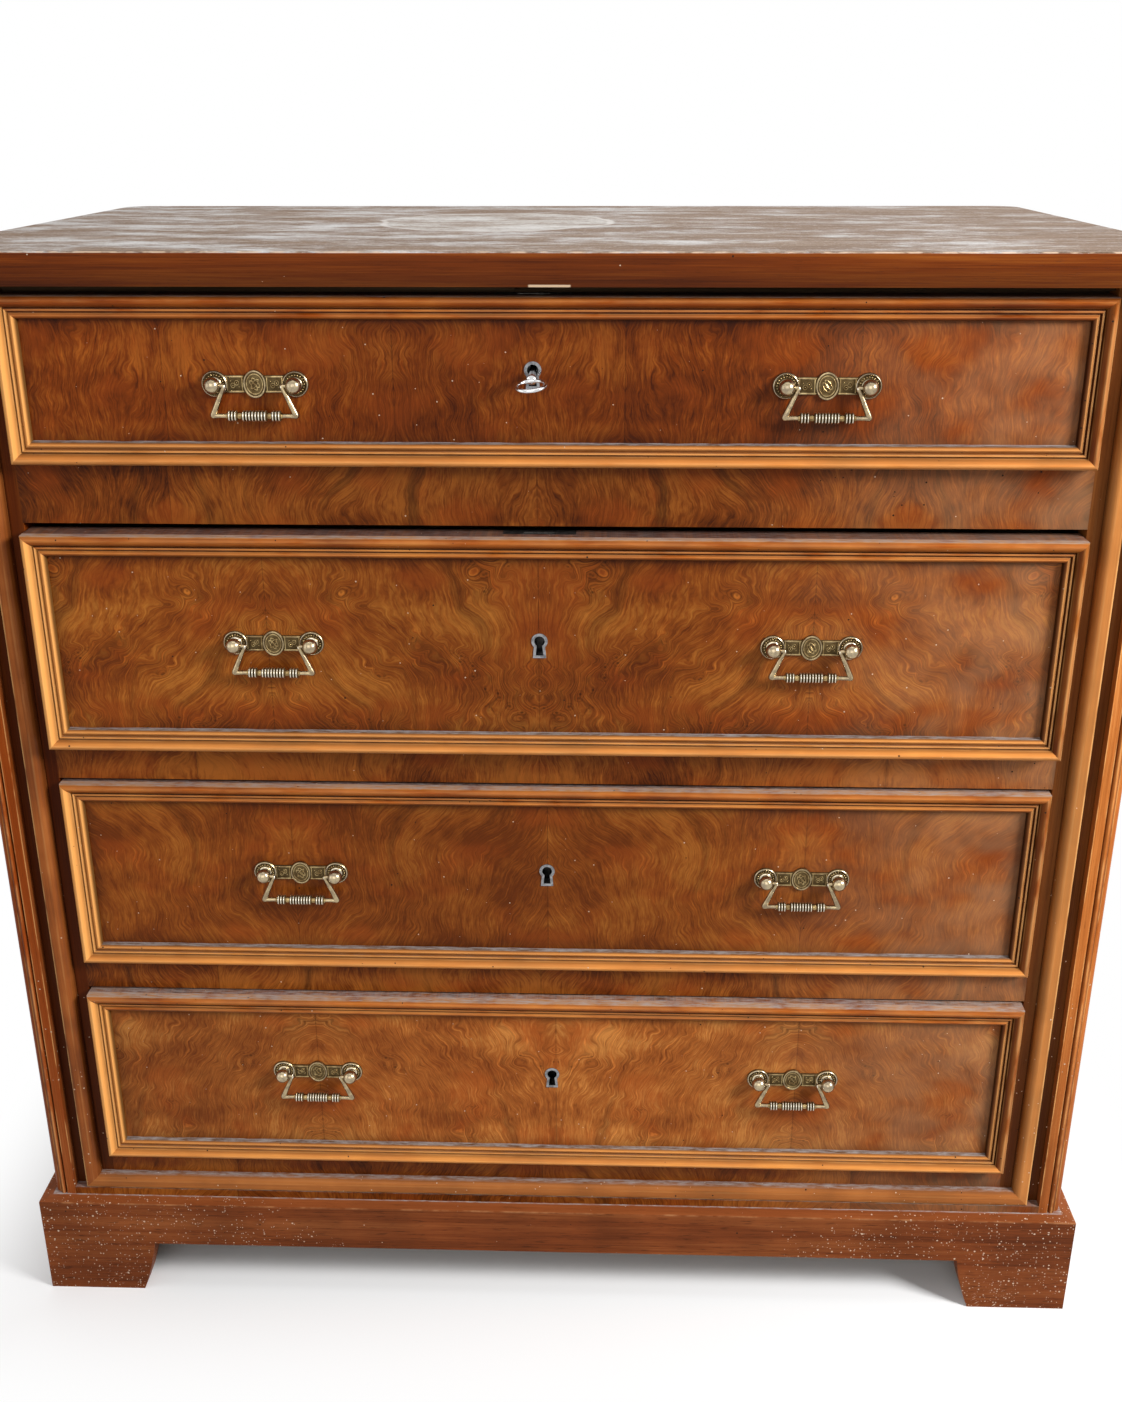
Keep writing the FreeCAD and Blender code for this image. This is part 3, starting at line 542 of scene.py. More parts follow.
@dataclass(frozen=True)
class Veneer:
    """Figured walnut laid in leaves that mirror each other at their seams."""

    name: str
    timber: Timber
    seam: float                     # X of one seam
    leaf: float                     # width of a leaf
    middle_z: float
    half_width: float
    half_height: float
    seed: float
    burl: float = 0.5               # how much of it swirls round eyes
    slant: float = 0.8              # how steeply the figure climbs to the seam
    sweep: float = 0.08             # how far the figure wanders
    streaks: float = 0.3            # strength of dark streaks
    sill: float = 0.7               # dust along the lower edge
    painted_sheen: float = 0.35              # painted sheen towards the right
    middle_painted_shade: float = 0.18               # painted shade across the middle; below 0, painted light
    wear: Wear = Wear()
    roughness: float = 0.40
    coat: float = 0.06

    def material(self) -> bpy.types.Material:
        """Build the material.

        Returns:
            The finished material.
        """
        s = Shader(self.name)
        mirror = s.maths("PINGPONG", s.x - self.seam, self.leaf)
        up = s.z - self.middle_z
        flow, swirled = self.figure(s, mirror, up)
        value, lines = self.tones(s, mirror, up, flow)
        colour = s.ramp(value, self.timber.stops())
        red = s.noise(s.at(mirror / 0.060 + self.seed, self.seed + 21.0, up / 0.045))
        colour = s.blend(s.step(red, 0.50, 0.68) * 0.45, colour, RED_STREAK)

        contour = s.noise(s.at(flow / 0.0032, self.seed + 17.0, up / 0.045), 1.0)
        ink = s.step(abs(contour - 0.5), 0.050, 0.012) * (swirled * 0.22 + 0.12)
        streak = s.noise(s.at(flow / 0.026 + self.seed, self.seed + 13.0, up / 0.30))
        ink = ink + s.step(streak, 0.56, 0.72) * self.streaks
        eye, chance = s.cells(s.at(mirror / 0.010 + self.seed, up / 0.009, 0.0), flat=True)
        eyes = (s.step(eye, 0.16, 0.08) + s.step(abs(eye - 0.36), 0.07, 0.02) * 0.5) * (chance < 0.45)
        ink = s.least(ink + eyes * s.step(swirled, 0.55, 0.95) * 0.42, 0.7)
        # Painted shade along the edges, where the moulding shades the veneer.
        edge = s.least(self.half_width - abs(s.x), self.half_height - abs(up))
        rim = s.step(edge, -0.006, 0.016) * 0.40 + 0.60
        seams = s.step(s.least(mirror, self.leaf - mirror), 0.0006, 0.0002) * 0.35
        glint = s.step(abs(contour - 0.66), 0.045, 0.0) * (swirled * 0.35 + 0.20)
        # A band across the middle: painted shade, and painted light where its strength is below 0.
        middle = 1 - s.step(abs(s.x + 0.02), 0.34, 0.05) * self.middle_painted_shade
        colour = s.shade(colour, (1 - ink + glint) * rim * (1 - seams) * middle)

        # Painted sheen: a paler, less red cast towards the right.
        sheen_share = s.step(s.x, 0.12, 0.50) * s.step(red, 0.75, 0.35) * self.painted_sheen
        colour = s.blend(sheen_share, colour, PAINTED_SHEEN)
        rough = self.roughness + (red - 0.5) * 0.12
        colour, height, rough = self.wear.apply(s, colour, lines * 0.012, rough, self.seed)
        if self.sill:
            patchy = s.noise(s.at(s.x / 0.03 + self.seed, 0.0, up / 0.002), 2.0, 0.6)
            lying = s.step(up + self.half_height, 0.0008, 0.0003) * s.step(patchy, 0.30, 0.60)
            colour = s.blend(lying * self.sill, colour, DUST)
        return s.surface(colour, rough, s.relief(height), coat=self.coat)

    def figure(self, s: Shader, mirror: Wire, up: Wire) -> Tuple[Wire, Wire]:
        """The figure as a field whose level lines are the fibres.

        Args:
            s: the shader.
            mirror: distance from the leaf's seam.
            up: height over the middle.

        Returns:
            The field in metres, and where it swirls, from 0 to 1.
        """
        wide = s.noise(s.at(mirror / 0.12 + self.seed, self.seed, up / 0.10), 1.0) - 0.5
        small = s.noise(s.at(mirror / 0.022, self.seed + 5.0, up / 0.030), 3.0) - 0.5
        knot, _ = s.cells(s.at(mirror / 0.026 + self.seed, up / 0.023, 0.0), flat=True)
        zone = s.noise(s.at(mirror / 0.080, self.seed + 9.0, up / 0.050))
        swirled = s.step(zone, 0.46, 0.62) * self.burl
        climb = (1 - mirror / self.leaf) * self.slant
        bulge = s.step(knot, 0.75, 0.0) * swirled * 0.016
        return mirror + up * climb + wide * self.sweep + small * 0.012 + bulge, swirled

    def tones(self, s: Shader, mirror: Wire, up: Wire, flow: Wire) -> Tuple[Wire, Wire]:
        """Light and dark of the figure, around 0.5, and its fine lines.

        Args:
            s: the shader.
            mirror: distance from the leaf's seam.
            up: height over the middle.
            flow: the field that figure() gives.

        Returns:
            The tone, and the fine lines around 0.
        """
        number = s.maths("FLOOR", (s.x - self.seam) / self.leaf)
        leaf_tone = s.noise(s.at(number * 3.7 + self.seed, self.seed, 0.5)) - 0.5
        patch = s.noise(s.at(mirror / 0.075 + self.seed, self.seed + 6.0, up / 0.055)) - 0.5
        mottle = s.noise(s.at(mirror / 0.014 + self.seed, self.seed + 7.0, up / 0.017), 4.0, 0.65) - 0.5
        bands = s.noise(s.at(flow / 0.0080, self.seed, up / 0.12)) - 0.5
        lines = s.noise(s.at(flow / 0.0026, self.seed + 2.0, up / 0.030), 2.0, 0.6) - 0.5
        fibres = s.noise(s.at(flow / 0.0012, self.seed + 3.0, up / 0.010), 2.0, 0.6) - 0.5
        value = patch * 0.90 + mottle * 0.36 + bands * 0.22 + lines * 0.46 + fibres * 0.55
        return value + leaf_tone * 0.5 + 0.5, lines


@dataclass(frozen=True)
class Moulding:
    """Polished sticks mitred round a rectangle; painted shade and light follow their section and side."""

    name: str
    half: float                     # from the middle to the outer edge
    low: float
    high: float
    width: float
    tone: Section                   # painted shade and highlight across the section
    rubbed: Section                 # where its arrises are worn light, with a painted highlight
    dusty: Section                  # where dust can lie
    relief: Section                 # height of the section, which deepens its shading
    seed: float
    timber: Timber = AMBER_WALNUT
    wear: Wear = Wear(worms=0.22, specks=0.03, dust=0.8)
    painted_light: Tuple[float, float, float] = (0.85, 0.0, 0.40)  # how golden by painted light: left, right, base
    shaded: float = 0.40            # how much darker the right stick is

    def material(self) -> bpy.types.Material:
        """Build the material.

        Returns:
            The finished material.
        """
        s = Shader(self.name)
        side = self.half - abs(s.x)
        end = s.least(s.z - self.low, self.high - s.z)
        depth = s.least(side, end)
        upright = side < end
        along = s.choose(upright, s.x, s.z)
        band_place = s.at(along / 0.30 + upright * 9.0 + self.seed, depth / 0.0045, s.y / 0.0045)
        bands = s.noise(band_place) - 0.5
        lines = s.noise(s.at(along / 0.05 + self.seed, depth / 0.0009, s.y / 0.0009), 2.0, 0.6) - 0.5
        patches = s.noise(s.scaled(0.07, self.seed), 3.0, 0.6) - 0.5
        colour = s.ramp(bands * 0.55 + lines * 0.35 + patches * 0.75 + 0.5, self.timber.stops())
        place = depth / self.width
        lower = (self.high - s.z) > (s.z - self.low)
        # Painted light: the sticks turned to the light, and the base, are made golden and brighter.
        left, right, base = self.painted_light
        worn = s.choose(upright, lower * base, s.choose(s.x < 0, right, left))
        colour = s.blend(worn, colour, PAINTED_LIGHT_GOLD)
        # Painted shade in the grooves and on the right stick, painted highlight on the crests.
        shaded = 1 - upright * (s.x > 0) * self.shaded
        colour = s.shade(colour, s.levels(place, self.tone) * (worn * 0.30 + 0.90) * shaded * 1.5)
        # Arrises worn light, with a painted highlight that is stronger on the sticks turned to the light.
        chafed = s.noise(s.at(along / 0.05 + self.seed, depth / 0.01, 3.0), 3.0, 0.6)
        light = s.levels(place, self.rubbed) * s.step(chafed, 0.32, 0.56)
        bright = s.choose(upright, 0.40 + worn * 0.4, 0.75)
        colour = s.blend(light * bright, colour, RUBBED_AND_HIGHLIGHT)
        rough = patches * 0.2 + 0.36
        height = s.levels(place, self.relief) * 2.5 + lines * 0.015
        colour, height, rough = self.wear.apply(s, colour, height, rough, self.seed,
                                                s.levels(place, self.dusty))
        return s.surface(colour, rough, s.relief(height), coat=0.12)


@dataclass(frozen=True)
class Stile:
    """The upright members beside the drawers; shading follows the distance from the middle."""

    name: str
    inner: float
    outer: float
    tone: Section
    rubbed: Section
    timber: Timber
    seed: float

    def material(self) -> bpy.types.Material:
        """Build the material.

        Returns:
            The finished material.
        """
        s = Shader(self.name)
        colour, height = straight_grain(s, Run.UP, self.timber, self.seed)
        dull, _ = straight_grain(s, Run.UP, BROWN_WALNUT, self.seed + 2.0)
        lowered = s.noise(s.scaled((0.1, 0.1, 0.15))) * 0.4 - 0.2 + s.z
        colour = s.blend(s.step(lowered, 0.50, 0.05) * 0.8, colour, s.shade(dull, 1.5))
        place = (abs(s.x) - self.inner) / (self.outer - self.inner)
        front = s.step(s.facing[1], -0.2, -0.5)
        # Painted shade in the recesses and painted light on the bands and beads of the front face; other
        # faces a flat darker tone.
        colour = s.shade(colour, s.choose(front, 0.60, s.levels(place, self.tone) * 1.5))
        # Worn arrises with a painted highlight.
        chafed = s.noise(s.scaled((0.01, 0.01, 0.04), self.seed, axis=2), 3.0, 0.6)
        light = s.levels(place, self.rubbed) * s.step(chafed, 0.35, 0.58)
        colour = s.blend(light * 0.8, colour, RUBBED_AND_HIGHLIGHT)
        wear = Wear(worms=0.05, specks=0.04, low_specks=0.45, dust=0.6)
        colour, height, rough = wear.apply(s, colour, height, 0.42, self.seed)
        return s.surface(colour, rough, s.relief(height))


@dataclass(frozen=True)
class WornTop:
    """The top board: polished at its edges, grey and water-stained above."""

    name: str
    low: Vector
    high: Vector
    seed: float = 2.0
    stain: Tuple[float, float] = (-0.062, 0.045)        # X and Y of its middle
    stain_size: Tuple[float, float] = (0.108, 0.125)    # its half width and half depth
    chip: float = 0.002             # X of the long chip under the front edge
    half_chip: float = 16.5 * MM

    def material(self) -> bpy.types.Material:
        """Build the material.

        Returns:
            The finished material.
        """
        s = Shader(self.name)
        colour, height = straight_grain(s, Run.ACROSS, RED_WALNUT, self.seed)
        # Painted shade: the edges of the board darken towards their lower arris.
        colour = s.shade(colour, s.step(s.z, self.low.z, self.high.z) * 0.45 + 0.42)
        above = s.step(s.z, self.high.z - 1.3 * MM, self.high.z - 0.7 * MM)
        lines = s.noise(grain_vector(s, Run.ACROSS, 0.075, 0.0018, 4.0), 3.0, 0.65)
        bare = self.bleached(s, lines)
        colour = self.chipped(s, s.blend(above, colour, bare), above)
        height = s.choose(above, height, lines * 0.08)
        rough = s.choose(above, 0.42, 0.88)
        wear = Wear(worms=0.03, specks=0.05)
        colour, height, rough = wear.apply(s, colour, height, rough, self.seed)
        return s.surface(colour, rough, s.relief(height), coat=(1 - above) * 0.06)

    def bleached(self, s: Shader, lines: Wire) -> Wire:
        """Worn brown wood with whitish streaks along the grain and an old water stain.

        Args:
            s: the shader.
            lines: the fine lines of the grain.

        Returns:
            The colour of the upper face.
        """
        bands = s.noise(grain_vector(s, Run.ACROSS, 0.20, 0.010, 8.0), 3.0, 0.6)
        bare = s.ramp(lines * 0.6 + bands * 0.4, [
            (0.32, (0.105, 0.062, 0.039)), (0.50, (0.210, 0.142, 0.100)), (0.68, (0.32, 0.250, 0.195))])
        blooms = s.noise(s.at(s.x / 0.13 + 3.0, s.y / 0.055, 0.0), 4.0, 0.65)
        thread = s.noise(grain_vector(s, Run.ACROSS, 0.020, 0.0026, 6.0), 4.0, 0.75)
        white = s.step(thread * 0.60 + blooms * 0.70 - s.x * 0.08, 0.61, 0.80)
        bare = s.blend(white * 0.75, bare, BLEACHED)
        crackle = s.noise(s.at(s.x / 0.007, s.y / 0.0022, 5.0), 3.0, 0.7)
        bare = s.blend(s.step(crackle, 0.60, 0.66) * 0.55, bare, CRACKLED)
        bare = s.shade(bare, 1 - s.step(crackle, 0.40, 0.34) * 0.45)
        grit = s.noise(s.at(s.x / 0.0020, s.y / 0.0030, 0.0), 2.0, 0.7)
        bare = s.shade(bare, grit * 0.9 + 0.55)
        rim = self.stain_rim(s)
        inside = s.step(rim, 1.02, 0.92) * s.step(crackle, 0.36, 0.52) * s.step(blooms, 0.25, 0.60)
        bare = s.blend(inside * 0.65, bare, STAIN)
        ring = s.step(abs(rim - 1.0), 0.045, 0.01)
        return s.blend(ring * 0.60, bare, STAIN_RIM)

    def chipped(self, s: Shader, colour: Wire, above: Wire) -> Wire:
        """Lay light chips on the front arris, and one long chip under the front edge.

        Args:
            s: the shader.
            colour: colour so far.
            above: 1 on the upper face.

        Returns:
            The colour with the chips.
        """
        nicks = s.step(s.noise(s.scaled((0.010, 0.004, 0.004)), 3.0), 0.40, 0.60)
        arris = s.step(s.y, self.low.y + 3.0 * MM, self.low.y + 0.8 * MM) * above
        colour = s.blend(arris * nicks * 0.8, colour, NICKED)
        under = s.step(s.z, self.low.z + 2.0 * MM, self.low.z + 1.5 * MM)
        span = s.step(abs(s.x - self.chip), self.half_chip, self.half_chip - 1.5 * MM) * under
        front = s.step(s.y, self.low.y + 1.0 * MM, self.low.y + 0.5 * MM)
        return s.blend(span * front * 0.9, colour, LONG_CHIP)

    def stain_rim(self, s: Shader) -> Wire:
        """1 on the rim of the old water stain, less inside it.

        Args:
            s: the shader.

        Returns:
            The distance from the stain's middle, as a share of its radius.
        """
        wobble = s.noise(s.at(s.x / 0.08, s.y / 0.08, 0.0)) * 0.3 - 0.15
        dx = (s.x - self.stain[0]) / self.stain_size[0]
        dy = (s.y - self.stain[1]) / self.stain_size[1]
        return s.maths("SQRT", dx * dx + dy * dy) + wobble


@dataclass(frozen=True)
class Plinth:
    """The knocked and scuffed plinth, worse towards the floor."""

    name: str
    half: float                     # from the middle to its outer face
    front: float                    # Y of its front face
    height: float
    run: Run = Run.ACROSS
    step: float = 12.0 * MM         # width of the ledge on top
    seed: float = 5.0

    def material(self) -> bpy.types.Material:
        """Build the material.

        Returns:
            The finished material.
        """
        s = Shader(self.name)
        colour, height = straight_grain(s, self.run, BROWN_WALNUT, self.seed)
        flecks = s.noise(grain_vector(s, self.run, 0.020, 0.0022, 4.0), 3.0, 0.6)
        colour = s.shade(colour, 1 - s.step(flecks, 0.56, 0.70) * 0.45)
        patches = s.noise(s.scaled((0.06, 0.06, 0.05), 3.0, axis=1), 3.0)
        colour = s.shade(colour, patches * 0.9 + 0.50)

        depth = s.least(s.y - self.front, self.half - abs(s.x))
        # Painted light: faces turned up are lighter and redder.
        above = s.step(s.facing[2], 0.4, 0.8)
        colour = s.blend(above * 0.45, colour, LIT_LEDGE)
        # The top arris worn light, with a painted highlight along it.
        chafed = s.noise(s.scaled((0.02, 0.02, 0.01)), 3.0, 0.6)
        arris = s.step(depth, 1.4 * MM, 0.5 * MM)
        arris = arris * s.step(s.z, self.height - 3.2 * MM, self.height - 2.2 * MM)
        colour = s.blend(arris * s.step(chafed, 0.40, 0.70) * 0.55, colour, ARRIS_WEAR_AND_HIGHLIGHT)
        crease = s.step(depth, self.step - 2.0 * MM, self.step - 0.8 * MM)

        marks = self.knocks(s)
        colour = s.blend(marks, colour, KNOCKED)
        wear = Wear(worms=0.05, specks=0.05, dust=0.9)
        colour, height, rough = wear.apply(s, colour, height - marks * 0.15, 0.50, self.seed, crease)
        return s.surface(colour, s.most(rough, marks * 0.8), s.relief(height), coat=0.05)

    def knocks(self, s: Shader) -> Wire:
        """Chips and scrapes: many on the feet, few between them.

        Args:
            s: the shader.

        Returns:
            How bare each point is knocked, from 0 to 0.9.
        """
        low = s.step(s.z, self.height * 1.4, self.height * 0.2)
        ends = s.step(abs(s.x), self.half - 0.40, self.half - 0.09)
        bad = s.least(low * ends * 0.70 + low * 0.25 + ends * 0.38, 1.0)
        chance = s.noise(s.scaled(0.015))
        few = KNOCKS.scatter(s, 0.50, 7.0) * (bad > chance)
        tiny = SMALL_KNOCKS.scatter(s, 0.70, 9.0) * (bad * 1.05 > chance)
        slant = s.at(s.x / 0.012 + s.z / 0.016, s.y / 0.02, s.z / 0.0022 - s.x / 0.0030)
        scrapes = s.step(s.noise(slant, 3.0, 0.65), 0.62, 0.70) * s.step(s.z, 0.045, 0.0)
        foot_corner = s.step(abs(s.x), self.half - 0.10, self.half - 0.085)
        foot_corner = foot_corner * s.step(abs(s.x), self.half - 0.045, self.half - 0.065)
        return s.least(few * 0.85 + tiny * 0.7 + scrapes * foot_corner * 0.8, 0.9)


@dataclass(frozen=True)
class Metal:
    """Old metal: light where it is rubbed, dark in its hollows."""

    name: str
    bright: Colour
    dull: Colour
    polished: Colour
    roughness: float
    seed: float = 0.0

    def material(self) -> bpy.types.Material:
        """Build the material.

        Returns:
            The finished material.
        """
        s = Shader(self.name)
        tarnish = s.noise(s.scaled(0.005, self.seed), 3.0, 0.6)
        colour = s.blend(s.step(tarnish, 0.36, 0.64), self.bright, self.dull)
        dirt, shine = self.mark(s, "hollow"), self.mark(s, "rubbed")
        colour = s.blend(shine * 0.9, colour, self.polished)
        colour = s.blend(dirt * 0.85, colour, tuple(0.30 * c for c in self.dull))
        rough = (tarnish - 0.5) * 0.18 + dirt * 0.40 - shine * 0.06 + self.roughness
        return s.surface(colour, rough, metallic=1.0, specular=0.5)

    @staticmethod
    def mark(s: Shader, name: str) -> Wire:
        """A share that each point of a piece carries."""
        return s.wire("ShaderNodeAttribute", {"attribute_name": name}, output="Fac")


# ------------------------------------------------------------------ modelling by hand
def rotation(degrees: float, axis: str) -> Matrix:
    """A turn about one of the axes."""
    return Matrix.Rotation(math.radians(degrees), 4, axis)


class Bench:
    """Modelling with Blender's own operators, one piece at a time."""

    @staticmethod
    def clear() -> None:
        """Select nothing."""
        if bpy.context.object and bpy.context.object.mode != "OBJECT":
            bpy.ops.object.mode_set(mode="OBJECT")
        bpy.ops.object.select_all(action="DESELECT")

    @staticmethod
    def turned(profile: Sequence[Tuple[float, float]], segments: int) -> bpy.types.Object:
        """A turned piece along Z, made by extruding a ring and changing its size at each step.

        Args:
            profile: (height, radius) pairs from one end to the other.
            segments: points round the ring.

        Returns:
            The piece, closed at both ends.
        """
        Bench.clear()
        height, radius = profile[0]
        bpy.ops.mesh.primitive_circle_add(vertices=segments, radius=radius, fill_type="NGON",
                                          location=(0, 0, height))
        piece = bpy.context.object
        bpy.ops.object.transform_apply(location=True)
        bpy.ops.object.mode_set(mode="EDIT")
        bpy.ops.mesh.select_all(action="SELECT")
        for next_height, next_radius in profile[1:]:
            bpy.ops.mesh.extrude_region_move(
                TRANSFORM_OT_translate={"value": (0, 0, next_height - height)})
            scale = next_radius / radius
            bpy.ops.transform.resize(value=(scale, scale, 1), center_override=(0, 0, next_height))
            height, radius = next_height, next_radius
        bpy.ops.mesh.select_all(action="SELECT")
        bpy.ops.mesh.normals_make_consistent(inside=False)
        bpy.ops.object.mode_set(mode="OBJECT")
        return piece

    @staticmethod
    def block(size: Point, centre: Point, bevel: float) -> bpy.types.Object:
        """A block with eased edges.

        Args:
            size: its length along X, Y and Z.
            centre: its middle.
            bevel: width of the eased edges.

        Returns:
            The piece.
        """
        Bench.clear()
        bpy.ops.mesh.primitive_cube_add(size=1, location=centre)
        piece = bpy.context.object
        piece.scale = size
        bpy.ops.object.transform_apply(location=True, scale=True)
        bpy.ops.object.mode_set(mode="EDIT")
        bpy.ops.mesh.select_all(action="SELECT")
        bpy.ops.mesh.bevel(offset=bevel, segments=2, affect="EDGES")
        bpy.ops.object.mode_set(mode="OBJECT")
        return piece

    @staticmethod
    def ring(major: float, minor: float, squash: Point = (1, 1, 1), turn: float = 0.0,
             steps: Tuple[int, int] = (28, 8)) -> bpy.types.Object:
        """A ring lying in the XY plane, stretched and turned about Z.

        Args:
            major: radius of the ring.
            minor: radius of its wire.
            squash: stretch along X, Y and Z.
            turn: angle about Z, in degrees.
            steps: points round the ring and round its wire.

        Returns:
            The piece.
        """
        Bench.clear()
        bpy.ops.mesh.primitive_torus_add(major_radius=major, minor_radius=minor,
                                         major_segments=steps[0], minor_segments=steps[1])
        piece = bpy.context.object
        piece.data.transform(rotation(turn, "Z") @ Matrix.Diagonal((*squash, 1)))
        return piece

    @staticmethod
    def bead(radius: float, centre: Point) -> bpy.types.Object:
        """A small round bead.

        Args:
            radius: its radius.
            centre: its middle.

        Returns:
            The piece.
        """
        Bench.clear()
        bpy.ops.mesh.primitive_ico_sphere_add(subdivisions=2, radius=radius, location=centre)
        bpy.ops.object.transform_apply(location=True)
        return bpy.context.object

    @staticmethod
    def rod(points: Sequence[Point], radii: Sequence[float]) -> bpy.types.Object:
        """A bent rod through points, with a radius at each, closed at its ends.

        Args:
            points: the rod's centreline.
            radii: its radius at each point.

        Returns:
            The piece as a mesh.
        """
        Bench.clear()
        bpy.ops.curve.primitive_nurbs_path_add()
        piece = bpy.context.object
        piece.data.splines.clear()
        spline = piece.data.splines.new("NURBS")
        spline.points.add(len(points) - 1)
        for point, place, radius in zip(spline.points, points, radii):
            point.co = (*place, 1)
            point.radius = radius
        spline.order_u = 3
        spline.use_endpoint_u = True
        piece.data.bevel_depth = 1.0
        piece.data.bevel_resolution = 4
        piece.data.resolution_u = 8
        piece.data.use_fill_caps = True
        piece.location = (0, 0, 0)
        bpy.ops.object.convert(target="MESH")
        return bpy.context.object

    @staticmethod
    def moved(piece: bpy.types.Object, *steps: Matrix) -> bpy.types.Object:
        """Move a piece's mesh by one matrix after another.

        Args:
            piece: the piece.
            steps: the matrices.

        Returns:
            The same piece.
        """
        for step in steps:
            piece.data.transform(step)
        return piece

    @staticmethod
    def join(name: str, pieces: Sequence[bpy.types.Object], angle: float = 40.0) -> bpy.types.Object:
        """Join pieces into one, named and shaded smooth up to an angle.

        Args:
            name: the new piece's name.
            pieces: what to join.
            angle: the sharpest angle, in degrees, that stays smooth.

        Returns:
            The joined piece.
        """
        Bench.clear()
        for piece in pieces:
            piece.select_set(True)
        bpy.context.view_layer.objects.active = pieces[0]
        if len(pieces) > 1:
            bpy.ops.object.join()
        joined = bpy.context.object
        joined.name = joined.data.name = name
        bpy.ops.object.shade_smooth_by_angle(angle=math.radians(angle))
        return joined

    @staticmethod
    def copy(piece: bpy.types.Object, name: str, step: Matrix) -> bpy.types.Object:
        """A copy with its own mesh, moved into place.

        Args:
            piece: the pattern.
            name: the copy's name.
            step: where it goes.

        Returns:
            The copy.
        """
        twin = bpy.data.objects.new(name, piece.data.copy())
        twin.data.name = name
        twin.data.transform(step)
        bpy.context.scene.collection.objects.link(twin)
        return twin

    @staticmethod
    def mark(piece: bpy.types.Object, name: str, rule: Callable[[Vector], float]) -> None:
        """Store a share from 0 to 1 at each point, such as how deep in a hollow it lies.

        Args:
            piece: the piece.
            name: the share's name, which its metal reads.
            rule: gives the share at a point; what lies beyond 0 or 1 is cut off.
        """
        attribute = piece.data.attributes.new(name, "FLOAT", "POINT")
        values = [max(0.0, min(1.0, rule(v.co))) for v in piece.data.vertices]
        attribute.data.foreach_set("value", values)


FRONT = rotation(90, "X")           # turns +Z to face the front, -Y
ALONG = rotation(90, "Y")           # turns +Z to run along +X
TO_METRES = Matrix.Scale(MM, 4)     # for a piece modelled in millimetres


